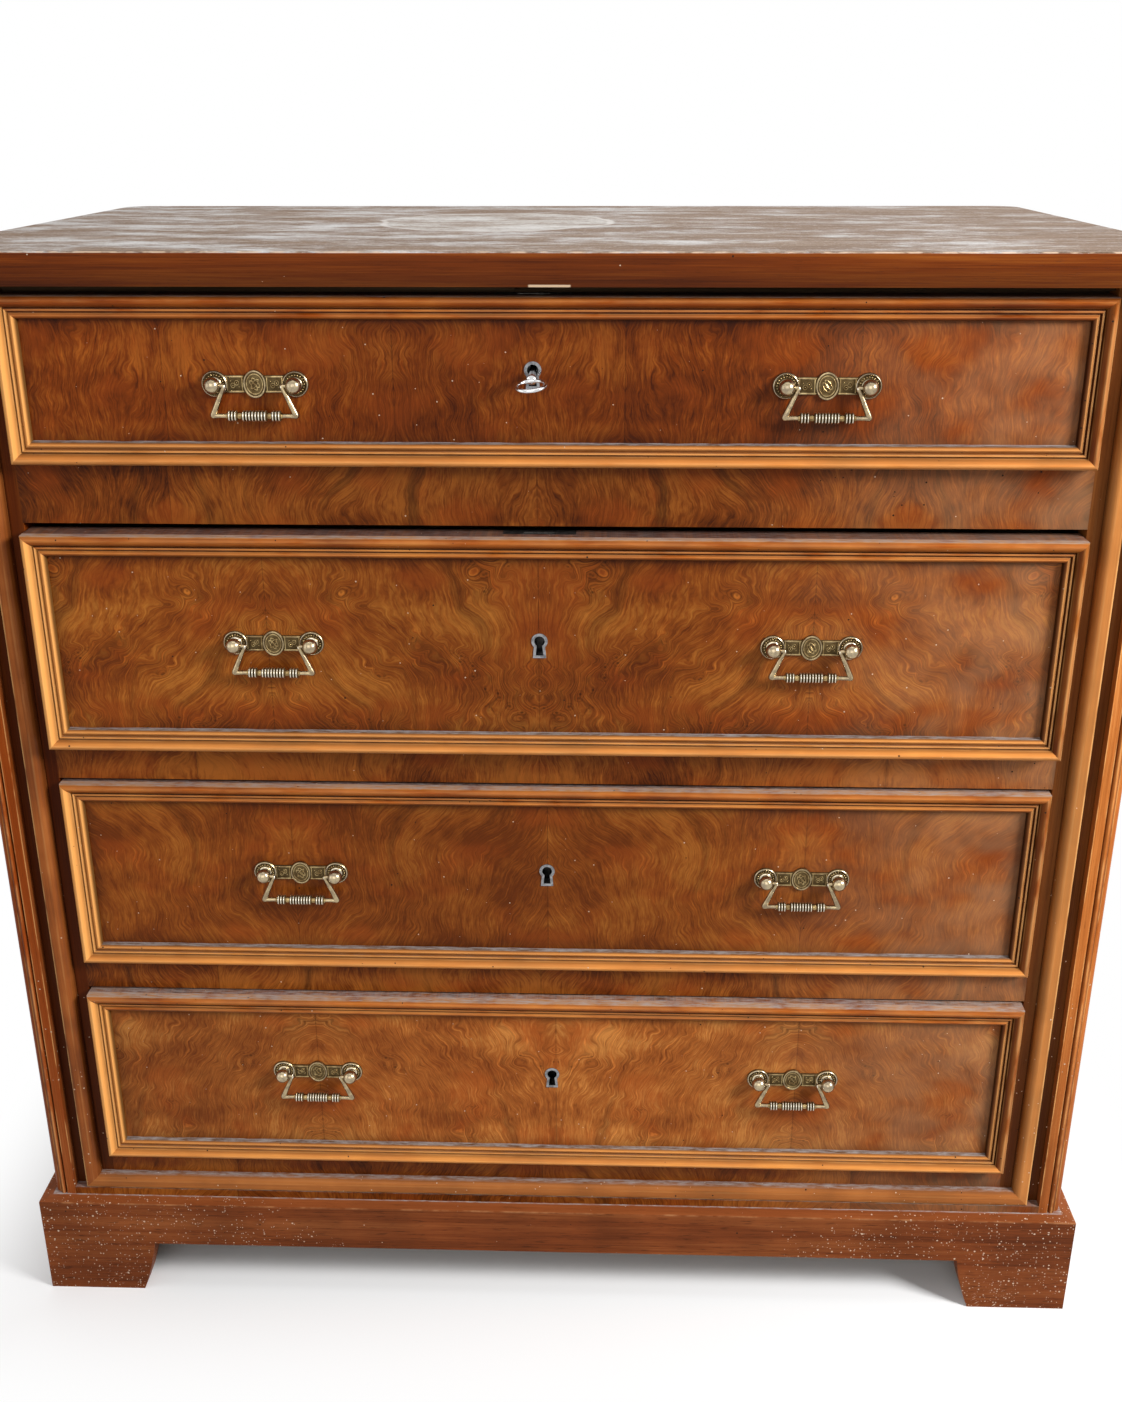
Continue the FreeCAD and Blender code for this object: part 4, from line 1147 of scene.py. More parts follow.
# ------------------------------------------------------------------ hardware, in millimetres
@dataclass
class Pull:
    """A brass pull: a plate between two beaded rosettes, two ball posts and their nuts."""

    spacing: float = 64.0
    reach: float = 9.5
    ball: float = 6.5
    rosette: float = 10.4
    bar_height: float = 13.5
    bar_thickness: float = 1.6
    medallion: Tuple[float, float] = (9.0, 11.0)
    front_thickness: float = 22.0
    beads: int = 20

    def rosette_parts(self) -> List[bpy.types.Object]:
        """One rosette facing +Z, with a rounded rim, a sunk ring of beads and a dome.

        Returns:
            The pieces, not yet joined.
        """
        r = self.rosette
        rim = [(0.0, r), (1.3, r), (2.2, r - 0.3), (2.6, r - 0.9), (2.4, r - 1.5), (1.8, r - 1.9),
               (1.5, r - 2.3)]
        middle = [(1.5, r - 4.5), (2.1, r - 4.8), (2.6, r - 5.4), (2.9, r - 6.4), (3.0, 3.2), (3.0, 2.0)]
        parts = [Bench.turned(rim + middle, 48)]
        for i in range(self.beads):
            angle = 2 * math.pi * i / self.beads
            place = (r - 3.4) * Vector((math.cos(angle), math.sin(angle), 0))
            parts.append(Bench.bead(0.80, (place.x, place.y, 1.6)))
        return parts

    def post(self) -> bpy.types.Object:
        """A ball on its neck, facing +Z, with its base on the plate.

        Returns:
            The piece.
        """
        steps = 14
        neck = [(0.0, 3.1), (3.2, 3.0)]
        start = math.acos(2.9 / self.ball)
        ball = []
        for i in range(steps + 1):
            angle = -start + (math.pi / 2 + start) * i / steps
            ball.append((self.reach + self.ball * math.sin(angle),
                         max(self.ball * math.cos(angle), 0.15)))
        return Bench.turned(neck + ball, 32)

    def stud(self) -> List[bpy.types.Object]:
        """The threaded stud and square nut behind the drawer front, along -Z.

        Returns:
            The pieces, not yet joined.
        """
        back = -self.front_thickness
        rod = Bench.turned([(back - 5.0, 1.7), (back - 4.6, 2.0), (0.0, 2.0)], 16)
        nut = Bench.block((9, 9, 3.5), (0, 0, back - 1.75), 0.4)
        return [rod, nut]

    def bar(self) -> List[bpy.types.Object]:
        """The bar facing +Z, with a raised border and two sunk panels.

        Returns:
            The pieces, not yet joined.
        """
        half = self.spacing / 2
        inner, outer = self.medallion[0] - 0.4, half - self.rosette + 1.4
        parts = [Bench.block((self.spacing, self.bar_height, self.bar_thickness),
                             (0, 0, self.bar_thickness / 2), 0.45)]
        top = self.bar_thickness
        for side in (-1, 1):
            middle = side * (inner + outer) / 2
            width, height = outer - inner, self.bar_height - 1.9
            for sense in (-1, 1):
                end = middle + sense * (width / 2 - 1.2)
                parts.append(Bench.block((width, 1.5, 1.3), (middle, sense * height / 2, top + 0.1), 0.4))
                parts.append(Bench.block((1.0, height, 1.2), (end, 0, top + 0.1), 0.3))
            parts += self.scrolls(middle, top)
        return parts

    @staticmethod
    def scrolls(middle: float, top: float) -> List[bpy.types.Object]:
        """Two opposed volutes and their buds, raised in a panel.

        Args:
            middle: X of the panel's middle.
            top: height of the bar's face.

        Returns:
            The pieces, not yet joined.
        """
        parts = []
        for sense in (-1, 1):
            lift = Matrix.Translation((middle + sense * 1.5, sense * 1.0, top))
            parts.append(Bench.moved(Bench.ring(1.6, 0.45, (1, 1.15, 1), steps=(16, 6)), lift))
            parts.append(Bench.bead(0.7, (middle + sense * 1.5, sense * 1.0, top)))
            parts.append(Bench.bead(0.6, (middle + sense * 3.2, -sense * 2.3, top)))
        return parts

    def boss(self) -> List[bpy.types.Object]:
        """The oval medallion facing +Z: two raised borders round a knot of slanting loops.

        Returns:
            The pieces, not yet joined.
        """
        half_width, half_height = self.medallion
        ratio = half_height / half_width
        stretch = Matrix.Diagonal((1, ratio, 1, 1))
        dish = [(0.0, half_width), (1.9, half_width), (2.6, half_width - 0.3), (2.8, half_width - 0.8),
                (2.6, half_width - 1.3), (1.8, half_width - 1.7), (1.7, 0.5)]
        parts = [Bench.moved(Bench.turned(dish, 48), stretch)]
        rim = Bench.ring(half_width - 2.6, 0.5, (1, ratio, 1), steps=(40, 8))
        parts.append(Bench.moved(rim, Matrix.Translation((0, 0, 1.9))))
        for turn, shift in ((-45, -1.2), (-45, 1.2), (45, 0.0)):
            loop = Bench.ring(2.5, 0.45, (1.55, 0.62, 1), turn)
            aside = Matrix.Translation((shift * 0.7, shift * 0.7, 1.9))
            parts.append(Bench.moved(loop, aside, stretch))
        return parts

    def build(self, name: str) -> bpy.types.Object:
        """Make the whole pull round its plate's middle, facing the front.

        Args:
            name: the piece's name.

        Returns:
            The piece.
        """
        parts = self.bar() + self.boss()
        for side in (-1, 1):
            step = Matrix.Translation((side * self.spacing / 2, 0, 0))
            parts += [Bench.moved(part, step)
                      for part in self.rosette_parts() + [self.post()] + self.stud()]
        pull = Bench.moved(Bench.join(name, parts), FRONT)
        Bench.mark(pull, "hollow", self.hollow)
        Bench.mark(pull, "rubbed", self.rubbed)
        return Bench.moved(pull, TO_METRES)

    def hollow(self, point: Vector) -> float:
        """How deep in the plate's relief a point lies.

        Args:
            point: a point of the piece, in millimetres.

        Returns:
            The depth: 0 or less outside a hollow, 1 or more deep in one.
        """
        height = -point.y
        if height > 3.2 or height < 0:
            return 0.0
        away = abs(abs(point.x) - self.spacing / 2)
        rim = 0.01                      # points on an outline count as inside it
        inside = away < self.rosette + rim or abs(point.x) < self.medallion[0] + rim
        return ((2.1 if inside else 1.9) - height) / 0.4 * 1.1

    def rubbed(self, point: Vector) -> float:
        """How much a point stands out to be polished by hands.

        Args:
            point: a point of the piece, in millimetres.

        Returns:
            The shine: 0 or less where it is dull, 1 or more where it is bright.
        """
        height = -point.y
        if height > 3.5:
            return 0.22
        on_rosette = abs(abs(point.x) - self.spacing / 2) < self.rosette
        return (height - 2.3) / 0.3 * (0.5 if on_rosette else 0.08)


@dataclass
class Bail:
    """A hanging bail: pins, flared and tapered arms, and a grip with turned rings."""

    top_half: float = 22.7
    bottom_half: float = 33.0
    drop: float = 23.5
    arm_top: float = 1.75
    arm_foot: float = 2.55
    rod: float = 1.8
    pin: float = 1.6
    pin_end: float = 34.1
    core: float = 2.5
    valley: float = 3.3
    crest: float = 4.6
    pitch: float = 2.45
    groups: Tuple[Tuple[float, int], ...] = ((-17.3, 3), (0.0, 8), (17.3, 3))
    grip_end: float = 1.3

    @property
    def half_grip(self) -> float:
        """Half the length of the turned part."""
        middle, count = self.groups[-1]
        return middle + count * self.pitch / 2 + self.grip_end

    def grip(self) -> bpy.types.Object:
        """The turned grip along Z.

        Returns:
            The piece.
        """
        shoulder, flank = 0.55 * self.crest + 0.45 * self.valley, self.crest - 0.05
        ring = ((0.22, shoulder), (0.40, flank), (0.60, flank), (0.78, shoulder), (1.0, self.valley))
        profile = [(-self.half_grip, self.core)]
        for middle, count in self.groups:
            start = middle - count * self.pitch / 2
            if profile[-1][0] > -self.half_grip:
                profile.append(((profile[-1][0] + start) / 2, self.core + 0.5))
            profile += [(start - 0.2, self.core), (start, self.valley)]
            for i in range(count):
                low = start + i * self.pitch
                profile += [(low + share * self.pitch, radius) for share, radius in ring]
            profile.append((start + count * self.pitch + 0.2, self.core))
        profile.append((self.half_grip, self.core))
        return Bench.turned(profile, 24)

    def arm(self, side: int) -> bpy.types.Object:
        """One arm with its pin above and its short rod below.

        Args:
            side: -1 for the left arm, 1 for the right one.

        Returns:
            The piece.
        """
        x0, x1, foot = self.top_half, self.bottom_half, -self.drop
        run = x1 - x0
        steps = [(self.pin_end, 0, self.pin), (x0 + 3.0, 0, self.pin), (x0 + 0.3, 0, self.pin),
                 (x0 + 0.03 * run, 0.05 * foot, self.arm_top),
                 (x0 + 0.15 * run, 0.15 * foot, self.arm_top),
                 (x0 + 0.88 * run, 0.88 * foot, self.arm_foot),
                 (x0 + 0.98 * run, 0.98 * foot, self.arm_foot), (x1 - 0.4, foot, self.arm_foot),
                 (x1 - 3.0, foot, self.rod), (self.half_grip - 1.0, foot, self.rod)]
        return Bench.rod([(side * x, 0, z) for x, z, _ in steps], [radius for _, _, radius in steps])

    def build(self, name: str) -> bpy.types.Object:
        """Make the bail hanging from the origin.

        Args:
            name: the piece's name.

        Returns:
            The piece.
        """
        parts = [Bench.moved(self.grip(), ALONG, Matrix.Translation((0, 0, -self.drop)))]
        parts += [self.arm(side) for side in (-1, 1)]
        bail = Bench.join(name, parts)
        Bench.mark(bail, "hollow", self.hollow)
        Bench.mark(bail, "rubbed", self.rubbed)
        return Bench.moved(bail, TO_METRES)

    def radius(self, point: Vector) -> float:
        """How far a point lies from the grip's axis."""
        return math.hypot(point.y, point.z + self.drop)

    def hollow(self, point: Vector) -> float:
        """Dirt between the rings.

        Args:
            point: a point of the piece, in millimetres.

        Returns:
            The depth: 0 or less outside a hollow, 1 or more deep in one.
        """
        if abs(point.x) > self.half_grip or self.radius(point) < self.core + 0.6:
            return 0.0
        return (self.crest - 0.25 - self.radius(point)) / 0.45

    def rubbed(self, point: Vector) -> float:
        """Rings worn to a pale shine.

        Args:
            point: a point of the piece, in millimetres.

        Returns:
            The shine: 0 or less where it is dull, 1 or more where it is bright.
        """
        if abs(point.x) > self.half_grip:
            return 0.15
        return (self.radius(point) - self.crest + 0.4) / 0.3


@dataclass
class Key:
    """The key of the top drawer: bit, shaft, collar and an oval bow."""

    shaft: float = 2.75
    inside: float = 13.0
    outside: float = 24.4
    collar: float = 4.0
    bow_width: float = 26.5
    bow_length: float = 24.0
    wire: float = 1.55
    bow_turn: float = -5.0
    droop: float = 12.0

    def build(self, name: str, pivot: Vector) -> bpy.types.Object:
        """Make the key in its lock.

        Args:
            name: the piece's name.
            pivot: the point of its shaft that it turns about, in metres.

        Returns:
            The piece.
        """
        end = self.outside
        shaft = Bench.turned([(-self.inside, 2.0), (-self.inside + 0.7, self.shaft),
                              (end - 3.2, self.shaft), (end - 2.6, self.collar - 0.3),
                              (end - 1.9, self.collar), (end - 1.0, self.collar - 0.2),
                              (end - 0.2, self.shaft), (end + 0.6, 1.8)], 32)
        half_bow = self.bow_length / 2 - self.wire
        bow = Bench.ring(half_bow, self.wire, (self.bow_width / self.bow_length, 1, 1), steps=(64, 16))
        bow = Bench.moved(bow, FRONT, Matrix.Translation((0, 0, end + half_bow)))
        bit = Bench.block((10, 2, 5), (-5, 0, -self.inside + 2.5), 0.3)
        key = Bench.join(name, [shaft, bow, bit])
        Bench.mark(key, "rubbed", lambda point: 0.9 if point.z > end - 3 else 0.3)
        return Bench.moved(key, FRONT, rotation(self.bow_turn, "Y"), rotation(self.droop, "X"),
                           TO_METRES, Matrix.Translation(pivot))


# ------------------------------------------------------------------ the chest
@dataclass(frozen=True)
class Leaves:
    """How the veneer of one drawer front is laid, and the state it is in."""

    seam: float                     # X of one seam
    width: float                    # width of a leaf
    burl: float                     # the rest as in Veneer
    slant: float
    timber: Timber
    sticks: Timber                  # timber of the moulding round it
    dust: float
    middle_painted_shade: float


FRONTS = (
    Leaves(-0.122, 0.182, 0.35, 0.20, RED_WALNUT, CHERRY_WALNUT, dust=0.15, middle_painted_shade=0.25),
    Leaves(-0.236, 0.227, 1.00, 0.85, GOLD_WALNUT, AMBER_WALNUT, dust=0.25, middle_painted_shade=0.20),
    Leaves(-0.003, 0.228, 0.30, 0.55, CALM_WALNUT, AMBER_WALNUT, dust=0.50, middle_painted_shade=0.18),
    Leaves(-0.221, 0.225, 0.85, 0.70, PALE_WALNUT, AMBER_WALNUT, dust=0.65, middle_painted_shade=-0.25))


@dataclass
class Chest:
    """All finishes and pieces of the chest."""

    frame: Dict[str, Any]
    planks: int = 7                 # planks of the back
    nail_aside: float = 35.0 * MM   # from the middle of a plank to its nails
    nail_inset: float = 12.0 * MM   # from the end of a plank to its nails
    brass: bpy.types.Material = field(init=False)
    steel: bpy.types.Material = field(init=False)
    iron: bpy.types.Material = field(init=False)

    def __post_init__(self) -> None:
        """Make the metals."""
        self.brass = Metal("aged_brass", (0.38, 0.275, 0.125), (0.19, 0.120, 0.048), (0.86, 0.81, 0.68),
                           0.26).material()
        self.steel = Metal("old_steel", (0.34, 0.34, 0.35), (0.16, 0.16, 0.165), (0.74, 0.74, 0.74), 0.20,
                           4.0).material()
        self.iron = Metal("lock_iron", (0.14, 0.13, 0.12), (0.06, 0.055, 0.05), (0.3, 0.3, 0.3), 0.5,
                          6.0).material()

    def dress(self, material: bpy.types.Material, *nodes: str) -> None:
        """Give nodes of the frame their finish.

        Args:
            material: the finish.
            nodes: names of the nodes.
        """
        for node in nodes:
            mesh = self.frame["nodes"][node].data
            mesh.materials.clear()
            mesh.materials.append(material)
        LOG.info("dressed %s with %s", ", ".join(nodes), material.name)

    @staticmethod
    def every(part: str) -> List[str]:
        """The nodes of one part in all the drawers."""
        return ["drawer_%d_%s" % (number, part) for number in range(1, len(FRONTS) + 1)]

    def pivot(self, joint: str) -> Vector:
        """The point that a joint of the frame turns about."""
        return Vector(next(j["pos_m"] for j in self.frame["joints"] if j["name"] == joint))

    def fit(self, piece: bpy.types.Object, body: str, slot: str, material: bpy.types.Material,
            *nodes: str) -> None:
        """Seat a new piece on its body, in place of some nodes.

        Args:
            piece: the new piece.
            body: the body that it rides on.
            slot: meant as its material slot; not used.
            material: its finish.
            nodes: the nodes that it stands in for, if any.
        """
        piece.data.materials.clear()
        piece.data.materials.append(material)
        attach(piece, body)
        if nodes:
            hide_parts(*nodes)
        LOG.info("fitted %s on %s: %d faces", piece.name, body, len(piece.data.polygons))

    def carcass(self) -> None:
        """Finish what is polished on the fixed case."""
        low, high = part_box("top_board")
        self.dress(WornTop("worn_top", low, high).material(), "top_board")
        side = Board("case_side", SIDE_WALNUT, Run.UP, 0.48, 0.06,
                     Wear(worms=0.04, specks=0.03, low_specks=0.2), 12.0)
        self.dress(side.material(), "side_left", "side_right")
        self.stiles()
        self.case_moulding()
        for name, seed in (("divider_rails", 31.0), ("bottom_rail", 33.0)):
            self.rail(name, seed)
        low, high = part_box("plinth_front")
        for name, run in (("plinth_front", Run.ACROSS), ("plinth_sides", Run.DEEP)):
            plinth = Plinth("scuffed_" + name, high.x, low.y, high.z, run)
            self.dress(plinth.material(), name)

    def bare_boards(self) -> None:
        """Finish what was never polished: the back, the inside and the boxes of the drawers."""
        low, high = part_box("back_planks")
        plank = (high.x - low.x) / self.planks
        dusty, wormy = Wear(dust=0.4), Wear(worms=0.06)
        boards = (
            (Board("pine_across", PINE, Run.ACROSS, 0.72, 0.0, dusty, 41.0),
             ["bottom_board", "drawer_stops", "plinth_back"]),
            (Board("pine_deep", PINE, Run.DEEP, 0.72, 0.0, dusty, 43.0),
             ["drawer_runners", "drawer_guides"]),
            (Board("pine_up", PINE, Run.UP, 0.75, 0.0, wormy, 45.0), ["corner_blocks"]),
            (Board("pine_planks", PINE, Run.UP, 0.75, 0.0, wormy, 46.0, plank), ["back_planks"]),
            # The top frame in near-black pine: painted shade in the gap under the top.
            (Board("shade_dark_pine", SHADE_DARK_PINE, Run.ACROSS, 0.8, 0.0, seed=47.0), ["top_frame"]),
            (Board("drawer_oak", OAK, Run.DEEP, 0.7, 0.0, Wear(dust=0.2), 61.0), self.every("sides")),
            (Board("drawer_back_oak", OAK, Run.ACROSS, 0.7, 0.0, Wear(dust=0.2), 63.0),
             self.every("back")),
            (Board("drawer_bottom_pine", PINE, Run.ACROSS, 0.75, 0.0, Wear(dust=0.3), 65.0),
             self.every("bottom")))
        for board, nodes in boards:
            self.dress(board.material(), *nodes)

    def stiles(self) -> None:
        """Finish the upright members beside the drawers."""
        low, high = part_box("stile_right")
        # Painted shade in the recesses and painted light on the bands; rubbed: worn arrises with a painted
        # highlight.
        tone = ((0.0, 0.20), (0.17, 0.22), (0.195, 0.05), (0.25, 0.07), (0.40, 0.20), (0.432, 0.24),
                (0.445, 0.15), (0.61, 0.17), (0.632, 0.10), (0.636, 0.62), (0.70, 0.58), (0.77, 0.64),
                (0.777, 0.60), (0.78, 0.08), (0.800, 0.08), (0.805, 0.50), (0.843, 0.72), (0.880, 0.32),
                (0.89, 0.20), (0.91, 0.62), (1.0, 0.50))
        rubbed = ((0.0, 0.0), (0.634, 0.0), (0.64, 0.9), (0.655, 0.0), (0.76, 0.0), (0.772, 0.8),
                  (0.778, 0.0), (0.82, 0.0), (0.843, 0.6), (0.865, 0.0), (0.89, 0.0), (0.905, 0.6),
                  (0.92, 0.0), (1.0, 0.0))
        # The left stile in a shaded copy of the timber, the right in a lit one: painted shade and light.
        for name, timber, seed in (("stile_left", SHADED_LEFT_STILE, 21.0), ("stile_right", LIT_RIGHT_STILE, 23.0)):
            stile = Stile(name, low.x, high.x, tone, rubbed, timber, seed)
            self.dress(stile.material(), name)

    def case_moulding(self) -> None:
        """Finish the moulding round the whole front."""
        low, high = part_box("case_moulding")
        # Painted shade at its edges, painted highlight on its arrises, painted light on the right stick.
        tone = ((0.0, 0.34), (0.04, 0.62), (0.5, 0.66), (0.75, 0.60), (0.93, 0.44), (1.0, 0.34))
        rubbed = ((0.0, 0.9), (0.06, 0.5), (0.09, 0.0), (0.45, 0.0), (0.54, 0.2), (0.64, 0.0), (1.0, 0.0))
        dusty = ((0.0, 0.0), (0.90, 0.0), (0.97, 0.6), (1.0, 1.0))
        relief = ((0.0, 0.3), (0.1, 0.5), (0.5, 0.5), (1.0, 0.2))
        beyond_top = high.z + 1.0       # it has no stick along the top
        moulding = Moulding("case_moulding", high.x, low.z, beyond_top, CASE_STICK, tone, rubbed, dusty,
                            relief, 51.0, STICK_WALNUT,
                            Wear(worms=0.04, specks=0.04, low_specks=0.45, dust=0.8),
                            painted_light=(0.05, 0.36, 0.18), shaded=0.0)
        self.dress(moulding.material(), "case_moulding")

    def rail(self, name: str, seed: float) -> None:
        """Finish rails with veneer whose grain runs up.

        Args:
            name: the rail's node.
            seed: moves the pattern.
        """
        low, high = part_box(name)
        middle = (low + high) / 2
        # The rails' timber is painted darker as shade.
        wear = Wear(worms=0.30, worm_from=0.17, specks=0.04, dust=0.5)
        veneer = Veneer(name + "_veneer", SHADED_RAIL_WALNUT, -0.010, 0.30, middle.z, high.x, 1.0, seed,
                        burl=0.10, slant=0.10, sweep=0.10, streaks=0.55, sill=0.0, wear=wear,
                        roughness=0.42)
        self.dress(veneer.material(), name)

    def drawers(self) -> None:
        """Finish the drawers and fit their hardware."""
        self.dress(self.iron, *self.every("lock"))
        self.dress(self.steel, *self.every("escutcheon"))
        pull = Pull().build("pull_pattern")
        bail = Bail().build("bail_pattern")
        for number, leaves in enumerate(FRONTS, 1):
            drawer = "drawer_%d" % number
            self.drawer_front(drawer, leaves, 7.0 * number)
            self.drawer_moulding(drawer, leaves.sticks, 71.0 + 5 * number)
            for side in ("left", "right"):
                self.hang(drawer, side, pull, bail)
        for pattern in (pull, bail):
            bpy.data.objects.remove(pattern)

    def drawer_front(self, drawer: str, leaves: Leaves, seed: float) -> None:
        """Finish the veneer of one drawer front, inside its moulding.

        Args:
            drawer: the drawer's name.
            leaves: how its veneer is laid.
            seed: moves the pattern.
        """
        low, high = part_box(drawer + "_front")
        middle, half = (low + high) / 2, (high - low) / 2
        wear = Wear(specks=0.09, worms=0.020, dust=leaves.dust)
        veneer = Veneer(drawer + "_veneer", leaves.timber, leaves.seam, leaves.width, middle.z,
                        high.x - DRAWER_STICK, half.z - DRAWER_STICK, seed, leaves.burl, leaves.slant,
                        middle_painted_shade=leaves.middle_painted_shade, wear=wear)
        self.dress(veneer.material(), drawer + "_front")

    def drawer_moulding(self, drawer: str, timber: Timber, seed: float) -> None:
        """Finish the moulding round one drawer front.

        Args:
            drawer: the drawer's name.
            timber: timber of the sticks.
            seed: moves the pattern.
        """
        low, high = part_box(drawer + "_moulding")
        # Painted shade in the grooves and painted highlight on the crests; rubbed: worn arrises with a
        # painted highlight.
        tone = ((0.0, 0.40), (0.05, 0.60), (0.22, 0.74), (0.34, 0.64), (0.42, 0.44), (0.470, 0.32),
                (0.485, 0.36), (0.560, 0.34), (0.568, 0.62), (0.638, 0.66), (0.648, 0.36), (0.718, 0.38),
                (0.73, 0.42), (0.84, 0.74), (0.92, 0.52), (0.965, 0.24), (1.0, 0.12))
        rubbed = ((0.0, 0.9), (0.03, 0.9), (0.06, 0.2), (0.14, 0.3), (0.22, 0.45), (0.30, 0.0), (0.45, 0.0),
                  (0.470, 0.6), (0.485, 0.0), (0.560, 0.0), (0.570, 1.0), (0.60, 0.4), (0.635, 0.7),
                  (0.648, 0.0), (0.72, 0.0), (0.74, 0.8), (0.78, 0.2), (0.84, 0.5), (0.90, 0.1), (1.0, 0.0))
        dusty = ((0.0, 1.0), (0.02, 0.8), (0.04, 0.0), (0.49, 0.0), (0.51, 0.4), (0.55, 0.3), (0.57, 0.0),
                 (0.65, 0.0), (0.67, 0.4), (0.71, 0.3), (0.73, 0.0), (0.965, 0.0), (0.985, 0.7), (1.0, 1.0))
        relief = ((0.0, 0.50), (0.08, 0.85), (0.20, 1.0), (0.32, 0.84), (0.475, 0.45), (0.490, 0.35),
                  (0.556, 0.35), (0.568, 0.50), (0.636, 0.50), (0.650, 0.35), (0.715, 0.35), (0.74, 0.42),
                  (0.84, 0.70), (0.94, 0.40), (1.0, 0.2))
        moulding = Moulding(drawer + "_moulding", high.x, low.z, high.z, DRAWER_STICK, tone, rubbed, dusty,
                            relief, seed, timber)
        self.dress(moulding.material(), drawer + "_moulding")

    def hang(self, drawer: str, side: str, pull: bpy.types.Object, bail: bpy.types.Object) -> None:
        """Fit one pull and its bail.

        Args:
            drawer: the drawer's name.
            side: left or right.
            pull: the pattern of the pull.
            bail: the pattern of the bail.
        """
        body = "%s_bail_%s" % (drawer, side)
        hinge = self.pivot(body + "_hinge")
        plate = hinge + Vector((0, Pull.reach * MM, 0))
        made = Bench.copy(pull, "%s_pull_%s" % (drawer, side), Matrix.Translation(plate))
        self.fit(made, drawer, "brass", self.brass, drawer + "_pulls")
        made = Bench.copy(bail, "%s_hanging_%s" % (drawer, side), Matrix.Translation(hinge))
        self.fit(made, body, "brass", self.brass, body)

    def key(self) -> None:
        """Fit the key in the top lock."""
        piece = Key().build("drawer_key", self.pivot("key_turn"))
        self.fit(piece, "key", "steel", self.steel, "key")
        self.dress(self.iron, "lock_bolt")

    def nails(self) -> None:
        """Nail heads along the top and bottom of the back planks."""
        low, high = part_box("back_planks")
        head = Bench.turned([(0.0, 2.2), (0.4, 2.4), (0.7, 1.6)], 12)
        turn = rotation(-90, "X") @ TO_METRES
        parts = []
        for i in range(self.planks):
            middle = low.x + (i + 0.5) * (high.x - low.x) / self.planks
            for x in (middle - self.nail_aside, middle + self.nail_aside):
                for z in (low.z + self.nail_inset, high.z - self.nail_inset):
                    step = Matrix.Translation((x, high.y - 0.1 * MM, z))
                    parts.append(Bench.copy(head, "nail", step @ turn))
        bpy.data.objects.remove(head)
        self.fit(Bench.join("back_nails", parts), "case", "steel", self.iron)


# ------------------------------------------------------------------ stage
@dataclass(frozen=True)
class Lamp:
    """A soft rectangular lamp."""

    name: str
    place: Point
    aim: Point                      # the point that it faces
    size: Tuple[float, float]
    watts: float

    def build(self) -> None:
        """Hang the lamp."""
        light = bpy.data.lights.new(self.name, "AREA")
        light.shape = "RECTANGLE"
        light.size, light.size_y = self.size
        light.energy = self.watts
        lamp = bpy.data.objects.new(self.name, light)
        bpy.context.scene.collection.objects.link(lamp)
        lamp.location = self.place
        lamp.rotation_euler = (Vector(self.aim) - Vector(self.place)).to_track_quat("-Z", "Y").to_euler()


DRAWER_FRONTS: Point = (0, -0.26, 0.5)
LAMPS = (
    Lamp("window", (2.05, -1.30, 1.80), DRAWER_FRONTS, (0.7, 0.7), 88),
    Lamp("front", (-0.3, -3.2, 1.8), DRAWER_FRONTS, (2.4, 2.0), 24),
    Lamp("fill", (-2.6, -1.6, 1.2), DRAWER_FRONTS, (1.6, 1.8), 9),
    Lamp("sky", (0, 0.4, 3.4), (0, 0, 0), (2.6, 2.6), 40),
    Lamp("back", (0.8, 3.2, 2.0), (0, 0, 0.5), (2.0, 2.0), 45))


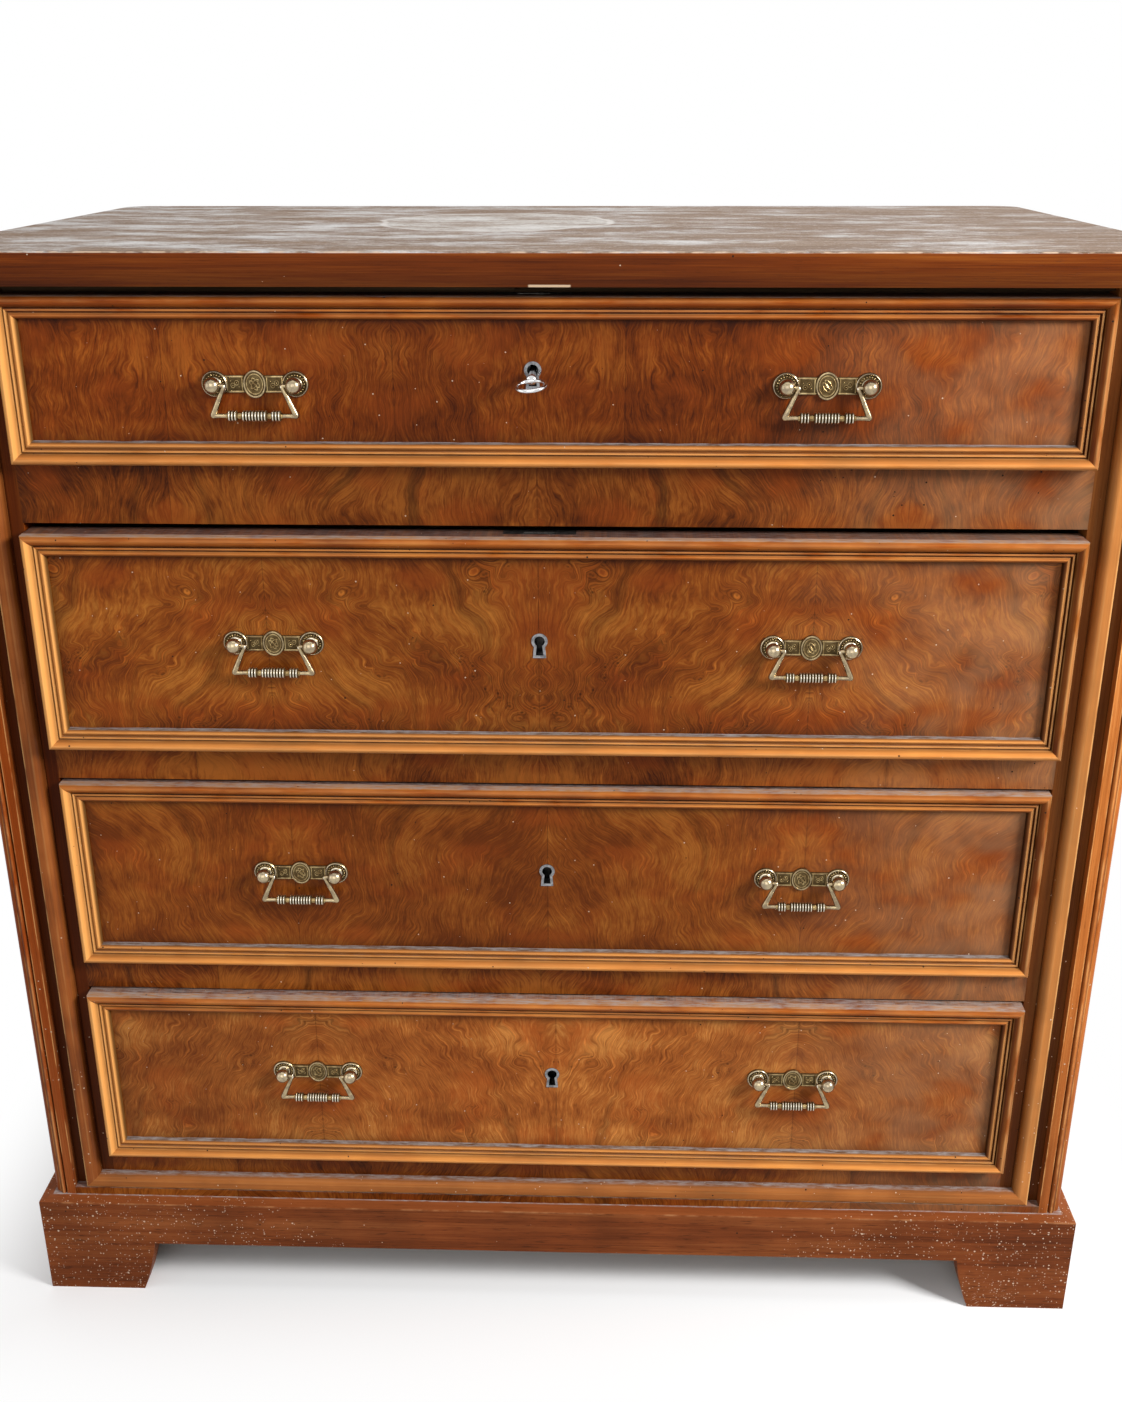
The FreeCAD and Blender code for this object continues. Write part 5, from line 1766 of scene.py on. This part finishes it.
@dataclass
class Stage:
    """Pale floor, soft light and the camera."""

    ambient: float = 0.22           # light of the sky on the chest
    bounce: float = 0.45            # how light the floor is for light on its way to the chest
    pale: float = 0.93              # how light the floor looks
    floor_radius: float = 40.0
    footprint: Tuple[float, float] = (0.50, 0.30)       # half the width and depth that it takes up
    fade: Tuple[float, float] = (-0.07, 0.16)           # where, beyond that, the floor turns white
    sensor: float = 36.0
    lens: float = 37.80
    camera_place: Point = (0.0475, -1.42476, 1.09779)
    look: Point = (-0.03054, 0.92859, -0.36985)
    right: Point = (0.99948, 0.03211, -0.00192)

    def floor(self) -> None:
        """A wide pale floor that fades to white far from the chest."""
        Bench.clear()
        bpy.ops.mesh.primitive_circle_add(vertices=96, radius=self.floor_radius, fill_type="NGON")
        floor = bpy.context.object
        floor.name = "floor"
        s = Shader("pale_floor")
        away = s.most(abs(s.x) - self.footprint[0], abs(s.y) - self.footprint[1])
        seen = self.seen(s)
        grey = s.blend(seen, (self.bounce,) * 3, (self.pale,) * 3)
        matt = s.wire("ShaderNodeBsdfDiffuse", inputs={"Color": grey})
        white = s.wire("ShaderNodeEmission", inputs={"Color": (1.0, 1.0, 1.0), "Strength": 1.0})
        share = s.step(away, *self.fade) * seen
        s.close(s.wire("ShaderNodeMixShader", inputs={0: share, 1: matt, 2: white}))
        floor.data.materials.append(s.material)

    @staticmethod
    def seen(s: Shader) -> Wire:
        """1 for rays from the camera and for mirrored or refracted ones.

        Args:
            s: the shader.

        Returns:
            1 or 0.
        """
        path = s.node("ShaderNodeLightPath")
        rays = [Wire(s, path.outputs[name])
                for name in ("Is Camera Ray", "Is Glossy Ray", "Is Transmission Ray")]
        return s.most(*rays)

    def world(self) -> None:
        """A soft sky, white where it is seen."""
        world = bpy.data.worlds.new("studio")
        bpy.context.scene.world = world
        s = Shader("studio", world)
        strength = self.seen(s) * (1 - self.ambient) + self.ambient
        s.close(s.wire("ShaderNodeBackground", inputs={"Color": (1.0, 1.0, 1.0), "Strength": strength}))

    def camera(self) -> None:
        """The camera in front of the chest, above it and looking down."""
        data = bpy.data.cameras.new("camera")
        data.sensor_width = self.sensor
        data.lens = self.lens
        camera = bpy.data.objects.new("camera", data)
        bpy.context.scene.collection.objects.link(camera)
        look = Vector(self.look).normalized()
        right = (Vector(self.right) - Vector(self.right).dot(look) * look).normalized()
        above = right.cross(look)
        turn = Matrix((right, above, -look)).transposed().to_4x4()
        camera.matrix_world = Matrix.Translation(self.camera_place) @ turn
        bpy.context.scene.camera = camera

    def build(self) -> None:
        """Set the stage."""
        bpy.context.scene.view_settings.view_transform = "Standard"
        self.floor()
        self.world()
        for lamp in LAMPS:
            lamp.build()
        self.camera()


def main() -> None:
    """Load the frame, dress the chest and set the stage."""
    logging.basicConfig(level=logging.INFO, format="%(name)s: %(message)s")
    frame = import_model()
    chest = Chest(frame)
    chest.carcass()
    chest.bare_boards()
    chest.drawers()
    chest.key()
    chest.nails()
    Stage().build()


if __name__ == "__main__":
    main()
